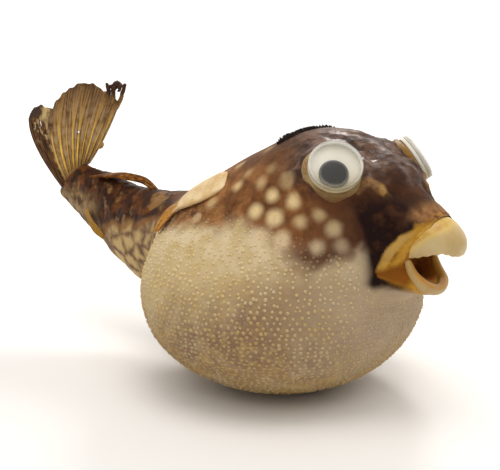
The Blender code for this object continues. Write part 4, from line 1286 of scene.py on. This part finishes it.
def swept(path, radii, around=8, steps=24):
    """A rod through these points, with its half width at each of them."""
    path, radii = through(path, steps), widths_through(radii, steps)
    ahead = np.gradient(path, axis=0)
    ahead /= np.linalg.norm(ahead, axis=1)[:, None]
    side = np.cross(ahead, [0.13, 0.24, 0.97] if abs(ahead[0][2]) < 0.8 else [0.97, 0.2, 0.1])
    side /= np.linalg.norm(side, axis=1)[:, None]
    other = np.cross(ahead, side)
    turn = np.arange(around)[:, None] * 2 * math.pi / around
    one, two = np.cos(turn), np.sin(turn)
    rings = [at + r * (one * s + two * o) for at, r, s, o in zip(path, radii, side, other)]
    return ringed(rings, [path[0] - ahead[0] * radii[0] * 0.6, path[-1] + ahead[-1] * radii[-1] * 0.6])


def joined_shapes(shapes):
    points, faces, start = [], [], 0
    for part, part_faces in shapes:
        points.append(part)
        faces += [tuple(k + start for k in face) for face in part_faces]
        start += len(part)
    return np.concatenate(points), faces


def sheet_shape(grid, thick):
    """A closed sheet from a grid of middle points and the thickness at each of them."""
    rows, columns = grid.shape[:2]
    normal = np.cross(np.gradient(grid, axis=0), np.gradient(grid, axis=1))
    normal /= np.linalg.norm(normal, axis=2)[..., None]
    offset = normal * thick[..., None] / 2
    points = np.concatenate([(grid + offset).reshape(-1, 3), (grid - offset).reshape(-1, 3)])
    half = rows * columns
    faces = []
    for i in range(rows - 1):
        for j in range(columns - 1):
            a = i * columns + j
            quad = (a, a + 1, a + columns + 1, a + columns)
            faces += [quad, tuple(half + k for k in reversed(quad))]
    edge = [
        *range(columns), *range(2 * columns - 1, half, columns),
        *range(half - 2, half - columns - 1, -1), *range(half - 2 * columns, 0, -columns),
    ]
    faces += [(b, a, a + half, b + half) for a, b in zip(edge, [*edge[1:], edge[0]])]
    return points, faces


def lay_both(mesh, key, grid):
    """Lays a grid of values on both faces of a sheet."""
    lay(mesh, key, np.concatenate([grid.ravel(), grid.ravel()]))


def in_fin(across, up, facing=0.0):
    """Places across and up the fan, and off its face."""
    across, up, facing = (np.asarray(far)[..., None] for far in (across, up, facing))
    return FIN_ROOT + across * ALONG_FIN + up * UPWARDS + facing * FACING_FIN


def ray_profile(u, v):
    """How much of a ray, from 0 to 1, there is at a share across the fan and along it."""
    total = np.zeros(np.broadcast(u, v).shape)
    fork = 0.030 * eased(v, 0.42, 1.0)
    for k in range(RAYS):
        middle = (k + 0.5) / RAYS + 0.012 * math.sin(5.1 * k)
        wide = (0.013 + 0.010 * (1 - v)) * (0.95 + 0.35 * math.sin(2.4 * k + 1.0))
        fading = 1 - (0.35 + 0.35 * math.sin(3.7 * k)) * eased(v, 0.35, 0.8)
        for way in (-1, 0, 1):
            strength = (1.0 if way == 0 else eased(v, 0.4, 0.55)) * fading
            total = np.maximum(total, strength * np.exp(-(((u - middle - way * fork) / wide) ** 2)))
    return total


def hole_cutter(across, up, wide, tall, tilt):
    """A rod through the fan's sheet, an oval of these half sizes."""
    line = [in_fin(across, up, off) for off in (-5.0, 0.0, 5.0)]
    cutter = new_piece("hole", *swept(line, (1, 1, 1), 12, 5))
    at = in_fin(across, up)
    spread = points_of(cutter.data) - at
    one, two = spread @ ALONG_FIN * wide, spread[:, 2] * tall
    one, two = one * math.cos(tilt) - two * math.sin(tilt), one * math.sin(tilt) + two * math.cos(tilt)
    placed = at + one[:, None] * ALONG_FIN + two[:, None] * UPWARDS
    set_points(cutter.data, placed + (spread @ FACING_FIN)[:, None] * FACING_FIN)
    return cutter


u = np.linspace(0, 1, 265)[:, None]
v = np.linspace(0, 1, 84)[None, :]
worn = 0.35 * np.sin(61 * u) * np.sin(23 * u + 1) + 0.3 * np.abs(np.sin(RAYS * math.pi * u)) - 0.2
tip = [np.interp(u, FIN_EDGE[:, 0], FIN_EDGE[:, 1]), np.interp(u, FIN_EDGE[:, 0], FIN_EDGE[:, 2]) + worn]
place = []
for k in (0, 1):
    start, middle = (end[0, k] + (end[1, k] - end[0, k]) * u for end in (FIN_FOOT, FIN_SIDE))
    place.append((1 - v) ** 2 * start + 2 * v * (1 - v) * middle + v**2 * tip[k])
rays = ray_profile(u, v)
ripple = (1.0 * np.sin(9.0 * u + 1.0) + 0.5 * np.sin(21.0 * u)) * v**1.5
ripple = ripple + 1.6 * (v - 0.4) ** 2 + 0.10 * np.sin(74 * u + 3 * v) * v
fine_rays = 0.5 + 0.5 * np.cos(2 * math.pi * 66 * u)
thick = 0.34 + (1.15 - 0.75 * v) * rays + 0.12 * fine_rays * eased(v, 0.3, 0.8) + 0.7 * (1 - v) ** 4
tail_fin = new_piece("tail_fin_fan", *sheet_shape(in_fin(*place, ripple), thick))
for key, values in (("ray", rays), ("across", u), ("along", v)):
    lay_both(tail_fin.data, key, np.broadcast_to(values, rays.shape))
cut_out(tail_fin, [hole_cutter(*hole) for hole in HOLES], "tail_fin_fan")

fan_finish, tree, where = new_finish("fan_of_rays")
across, along, ray = mask(tree, "across"), mask(tree, "along"), mask(tree, "ray")
middling, fine = speckle(tree, where, 2.2, 4, 0.6), speckle(tree, where, 0.5, 3)
strands = {0: product(tree, across, 90.0), 1: product(tree, along, 5.0)}
strands = add(tree, "ShaderNodeCombineXYZ", strands).outputs[0]
strand = add(tree, "ShaderNodeTexNoise", {"Vector": strands, "Scale": 1.0, "Detail": 2.0}).outputs[0]
web = coated(
    tree, (0.33, 0.19, 0.062),
    (middling, 0.4, 0.65, 1, (0.47, 0.33, 0.18)),
    (strand, 0.5, 0.75, 0.6, (0.17, 0.085, 0.03)),
    (along, 0.45, 0.95, 0.8, (0.32, 0.18, 0.072)),
)
gold = coated(
    tree, (0.94, 0.58, 0.085),
    (along, 0.34, 0.85, 1, (0.40, 0.23, 0.066)),
    (along, 0.22, 0.04, 1, (0.34, 0.17, 0.03)),
    (strand, 0.52, 0.64, 0.75, (0.30, 0.13, 0.018)),
)
flecks = product(
    tree, ranged(tree, speckle(tree, where, 2.6, 2), 0.50, 0.58), ranged(tree, strand, 0.35, 0.55),
    ranged(tree, along, 0.50, 0.60), ranged(tree, across, 0.015, 0.05),
)
lobe = coated(
    tree, (0.030, 0.013, 0.006),
    (strand, 0.42, 0.6, 1, (0.16, 0.066, 0.016)),
    (flecks, (0.52, 0.37, 0.18)),
    (product(tree, ranged(tree, across, 0.11, 0.14), ranged(tree, along, 0.78, 0.86)), (0.56, 0.41, 0.18)),
    (product(tree, ranged(tree, across, 0.12, 0.09), ranged(tree, along, 0.84, 0.90)), (0.060, 0.036, 0.024)),
)
beside = product(
    tree, ranged(tree, ray, 0.06, 0.25), ranged(tree, ray, 0.62, 0.42),
    ranged(tree, middling, 0.35, 0.6, 0.9, 0.4),
)
golden = product(tree, ranged(tree, ray, 0.5, 0.85), ranged(tree, along, 0.5, 0.95, 0.95, 0.45))
browned = product(tree, ranged(tree, along, 0.82, 1.0), ranged(tree, middling, 0.35, 0.6))
split = sums(tree, "ADD", across, ranged(tree, middling, 0.3, 0.7, -0.03, 0.03))
colour = coated(
    tree, web, (beside, (0.085, 0.036, 0.011)), (golden, gold), (browned, (0.085, 0.040, 0.015)),
    (split, 0.20, 0.16, 1, lobe),
)
height = sums(tree, "ADD", product(tree, strand, 1.2), product(tree, fine, 0.6))
set_shader(
    tree, Base_Color=colour, Specular_IOR_Level=0.2, Roughness=ranged(tree, middling, 0.35, 0.65, 0.24, 0.5),
    Normal=relief(tree, height, 0.55, 0.0004),
)
tail_fin.data.materials.clear()
tail_fin.data.materials.append(fan_finish)
tail_fin.data.shade_smooth()
tail_fin.data.set_sharp_from_angle(angle=math.radians(50))


def dark_tips():
    """Curled ends of the uppermost rays, and a scrap of ray folded back near the root."""
    shapes = []
    for n, (line, half) in enumerate(zip(CURLED[::2], CURLED[1::2])):
        path = [in_fin(a, b, 0.35 * math.sin(2.1 * n + 0.9 * i) + 1.0) for i, (a, b) in enumerate(line)]
        shapes.append(swept(path, half, 10, 30))
    scrap = [in_fin(a, b, 0.9 + 0.1 * i) for i, (a, b) in enumerate(SCRAP)]
    return joined_shapes([*shapes, swept(scrap, SCRAP_WIDE, 8, 30)])


tips = new_piece("tail_fin_tips", *dark_tips())
tips_at = points_of(tips.data)
set_points(tips.data, tips_at + normals_of(tips.data) * (0.16 * grain(tips_at, 1.1, 21))[:, None])
tips_finish, tree, where = new_finish("curled_rays")
middling, fine = speckle(tree, where, 1.8, 4, 0.6), speckle(tree, where, 0.5, 3)
scorched = coated(tree, (0.035, 0.013, 0.007), (fine, 0.45, 0.7, 1, (0.11, 0.045, 0.02)))
colour = coated(
    tree, (0.62, 0.38, 0.09),
    (middling, 0.4, 0.6, 1, (0.32, 0.16, 0.035)),
    (parts(tree, where)[2], 0.0695, 0.0755, 1, scorched),
)
set_shader(
    tree, Base_Color=colour, Specular_IOR_Level=0.2, Roughness=ranged(tree, fine, 0.3, 0.7, 0.28, 0.5),
    Normal=relief(tree, middling, 0.5, 0.0004),
)
tips.data.materials.append(tips_finish)
for piece in (tail_fin, tips):
    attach(piece, "fish")
    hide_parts("caudal_fin")

# ---------------------------------------------------------------- back fin and anal fin
# Both have dried into flat sheaves of amber rays, stuck together by shrunken web. The back fin
# springs from the top of the stem and arches over it, and the anal fin lies along its side.

DORSAL = (
    (-0.3, 53.0, 46.6), (-0.5, 57.0, 48.8), (-0.8, 61.5, 49.9), (-1.8, 67.5, 50.5), (-3.4, 74.5, 50.3),
    (-5.2, 81.0, 49.6),
)
DORSAL_WIDE = (0.6, 0.9, 1.3, 1.8, 1.5, 0.8)
ANAL = ((-5.0, 73.2, 30.6), (-6.2, 76.2, 33.6), (-6.4, 78.6, 36.4), (-6.1, 80.9, 39.8))
ANAL_WIDE = (0.6, 1.2, 1.1, 0.5)


def sheaf(line, widths, lie, rays, thick, droop, seed):
    """Rays side by side along a line, in a band of these half widths, with a thin web between."""
    lie = np.array(lie, float) / np.linalg.norm(lie)
    shapes = []
    random = np.random.default_rng(seed)
    stops = np.arange(9)
    points, wide = through(line, 9), widths_through(widths, 9)[:, None]
    for k in range(rays):
        share = 2 * k / (rays - 1) - 1
        reach = 1 - 0.10 * random.random() - 0.08 * abs(share)
        line_of_ray = np.column_stack([stops, points + share * wide * lie])
        path = smooth_curve(line_of_ray, np.linspace(0, reach, 9) * 8)
        path += 0.12 * np.sin(stops[:, None] * 1.1 + 2 * k) * [0.6, 0.2, 1.0]
        path[:, 2] -= droop * np.linspace(0, 1, 9) ** 2 * (0.5 + 0.5 * share)
        shapes.append(swept(path, np.linspace(1.15, 0.55, 6) * thick, 8, 36))
    steps, columns = 40, 9
    share, half = np.linspace(-1, 1, columns), widths_through(widths, steps)[:, None]
    grid = through(line, steps)[:, None, :] + (half * share)[..., None] * lie
    grid[..., 2] -= droop * np.linspace(0, 1, steps)[:, None] ** 2 * (0.5 + 0.5 * share)
    grid = grid[: int(steps * 0.9)]
    return joined_shapes([*shapes, sheet_shape(grid, np.full(grid.shape[:2], thick * 1.1))])


sheaf_finish, tree, where = new_finish("amber_rays")
broad, fine = speckle(tree, where, 3.5, 3), speckle(tree, stretched(tree, where, 1.0, 0.25, 1.0), 0.6, 3)
colour = coated(
    tree, (0.30, 0.112, 0.008),
    (fine, 0.4, 0.62, 1, (0.050, 0.014, 0.002)),
    (broad, 0.45, 0.62, 0.8, (0.07, 0.022, 0.007)),
    (parts(tree, where)[2], 0.043, 0.040, 0.75, (0.46, 0.25, 0.045)),
)
set_shader(
    tree, Base_Color=colour, Specular_IOR_Level=0.06, Roughness=ranged(tree, broad, 0.35, 0.65, 0.22, 0.45),
    Normal=relief(tree, fine, 0.5, 0.0004),
)
back_fin = new_piece("back_fin_rays", *sheaf(DORSAL, DORSAL_WIDE, (1, 0, 0.5), 7, 0.42, 1.2, 31))
anal_fin = new_piece("anal_fin_rays", *sheaf(ANAL, ANAL_WIDE, (0.2, 0.5, -1), 5, 0.38, 0.0, 32))
for piece, node in ((back_fin, "dorsal_fin"), (anal_fin, "anal_fin")):
    piece.data.materials.append(sheaf_finish)
    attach(piece, "fish")
    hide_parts(node)

# ---------------------------------------------------------------- pectoral fins
# Each side fin has dried flat along the flank: a thick cream paddle at its root, then a narrow
# curled blade of amber rays that turns down behind it.

PECTORAL = ((4.7, 54.8), (10.0, 52.3), (14.8, 49.9), (19.0, 47.2), (22.8, 44.6), (25.2, 40.4))
PECTORAL_WIDE = (2.5, 2.9, 2.3, 1.0, 1.9, 0.3)
PECTORAL_LIFT = (0.2, 1.3, 1.7, 1.4, 1.3, 1.2)  # how far it stands off the hide

side_finish, tree, where = new_finish("cream_paddle")
broad, fine = speckle(tree, where, 3, 3), speckle(tree, where, 0.7, 3)
blade = coated(tree, (0.62, 0.29, 0.030), (fine, 0.4, 0.65, 1, (0.40, 0.16, 0.014)))
behind = sums(tree, "ADD", mask(tree, "along"), ranged(tree, broad, 0.3, 0.7, -0.06, 0.06))
colour = coated(
    tree, (0.78, 0.60, 0.34),
    (broad, 0.4, 0.65, 1, (0.66, 0.44, 0.19)),
    (mask(tree, "rim"), 0.80, 1.0, 0.7, (0.55, 0.33, 0.12)),
    (behind, 0.58, 0.68, 1, blade),
)
height = sums(tree, "ADD", product(tree, mask(tree, "ray"), 0.8), fine)
set_shader(
    tree, Base_Color=colour, Roughness=ranged(tree, fine, 0.3, 0.7, 0.42, 0.6),
    Normal=relief(tree, height, 0.5, 0.0004),
    Subsurface_Weight=0.08, Subsurface_Radius=(0.0015, 0.001, 0.0005),
)

steps, columns = 90, 31
centres, lift = through(PECTORAL, steps), widths_through(PECTORAL_LIFT, steps)
end = np.clip(np.linspace(0, 1, steps) / 0.09, 0, 1)
half = widths_through(PECTORAL_WIDE, steps) * (0.62 + 0.38 * np.sqrt(end * (2 - end)))
ahead = np.gradient(centres, axis=0)
ahead /= np.linalg.norm(ahead, axis=1)[:, None]
lie = np.column_stack([-ahead[:, 1], ahead[:, 0]])
share, along = np.linspace(-1, 1, columns), np.linspace(0, 1, steps)[:, None]
ridges = 0.5 + 0.5 * np.cos(math.pi * 7 * share[None, :] + 2.2 * along)
plump = np.sqrt(np.maximum(0, 1 - share[None, :] ** 4))
plump = plump * np.clip(along * 14, 0, 1) ** 0.5 * np.clip((1 - along) * 20, 0, 1) ** 0.5
bladed = eased(along, 0.5, 0.7)
thick = 0.18 + plump * (1.25 - 0.75 * eased(along, 0.5, 0.68))
thick = thick + 0.22 * ridges * plump * (0.15 + 0.85 * bladed)
for side, sign in (("right", -1), ("left", 1)):
    grid = np.zeros((steps, columns, 3))
    for i in range(steps):
        for j in range(columns):
            at = centres[i] + lie[i] * half[i] * share[j]
            hit, _, _, _ = hide_tree.ray_cast(Vector((sign * 60, at[0], at[1])), Vector((-sign, 0, 0)))
            curl = 0.5 * share[j] + (0.9 * share[j] ** 2 if i > 54 else 0.25 * share[j] ** 2)
            grid[i, j] = (sign * (abs(hit.x) + lift[i] + curl), at[0], at[1])
    for _ in range(3):
        grid[1:-1, :, 0] = (grid[:-2, :, 0] + grid[1:-1, :, 0] + grid[2:, :, 0]) / 3
    paddle = new_piece(f"pectoral_paddle_{side}", *sheet_shape(grid, thick))
    for key, values in (("along", along), ("ray", ridges * (0.2 + 0.8 * bladed)), ("rim", np.abs(share))):
        lay_both(paddle.data, key, np.broadcast_to(values, thick.shape))
    paddle.data.materials.append(side_finish)
    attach(paddle, "fish")
    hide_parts(f"pectoral_fin_{side}")
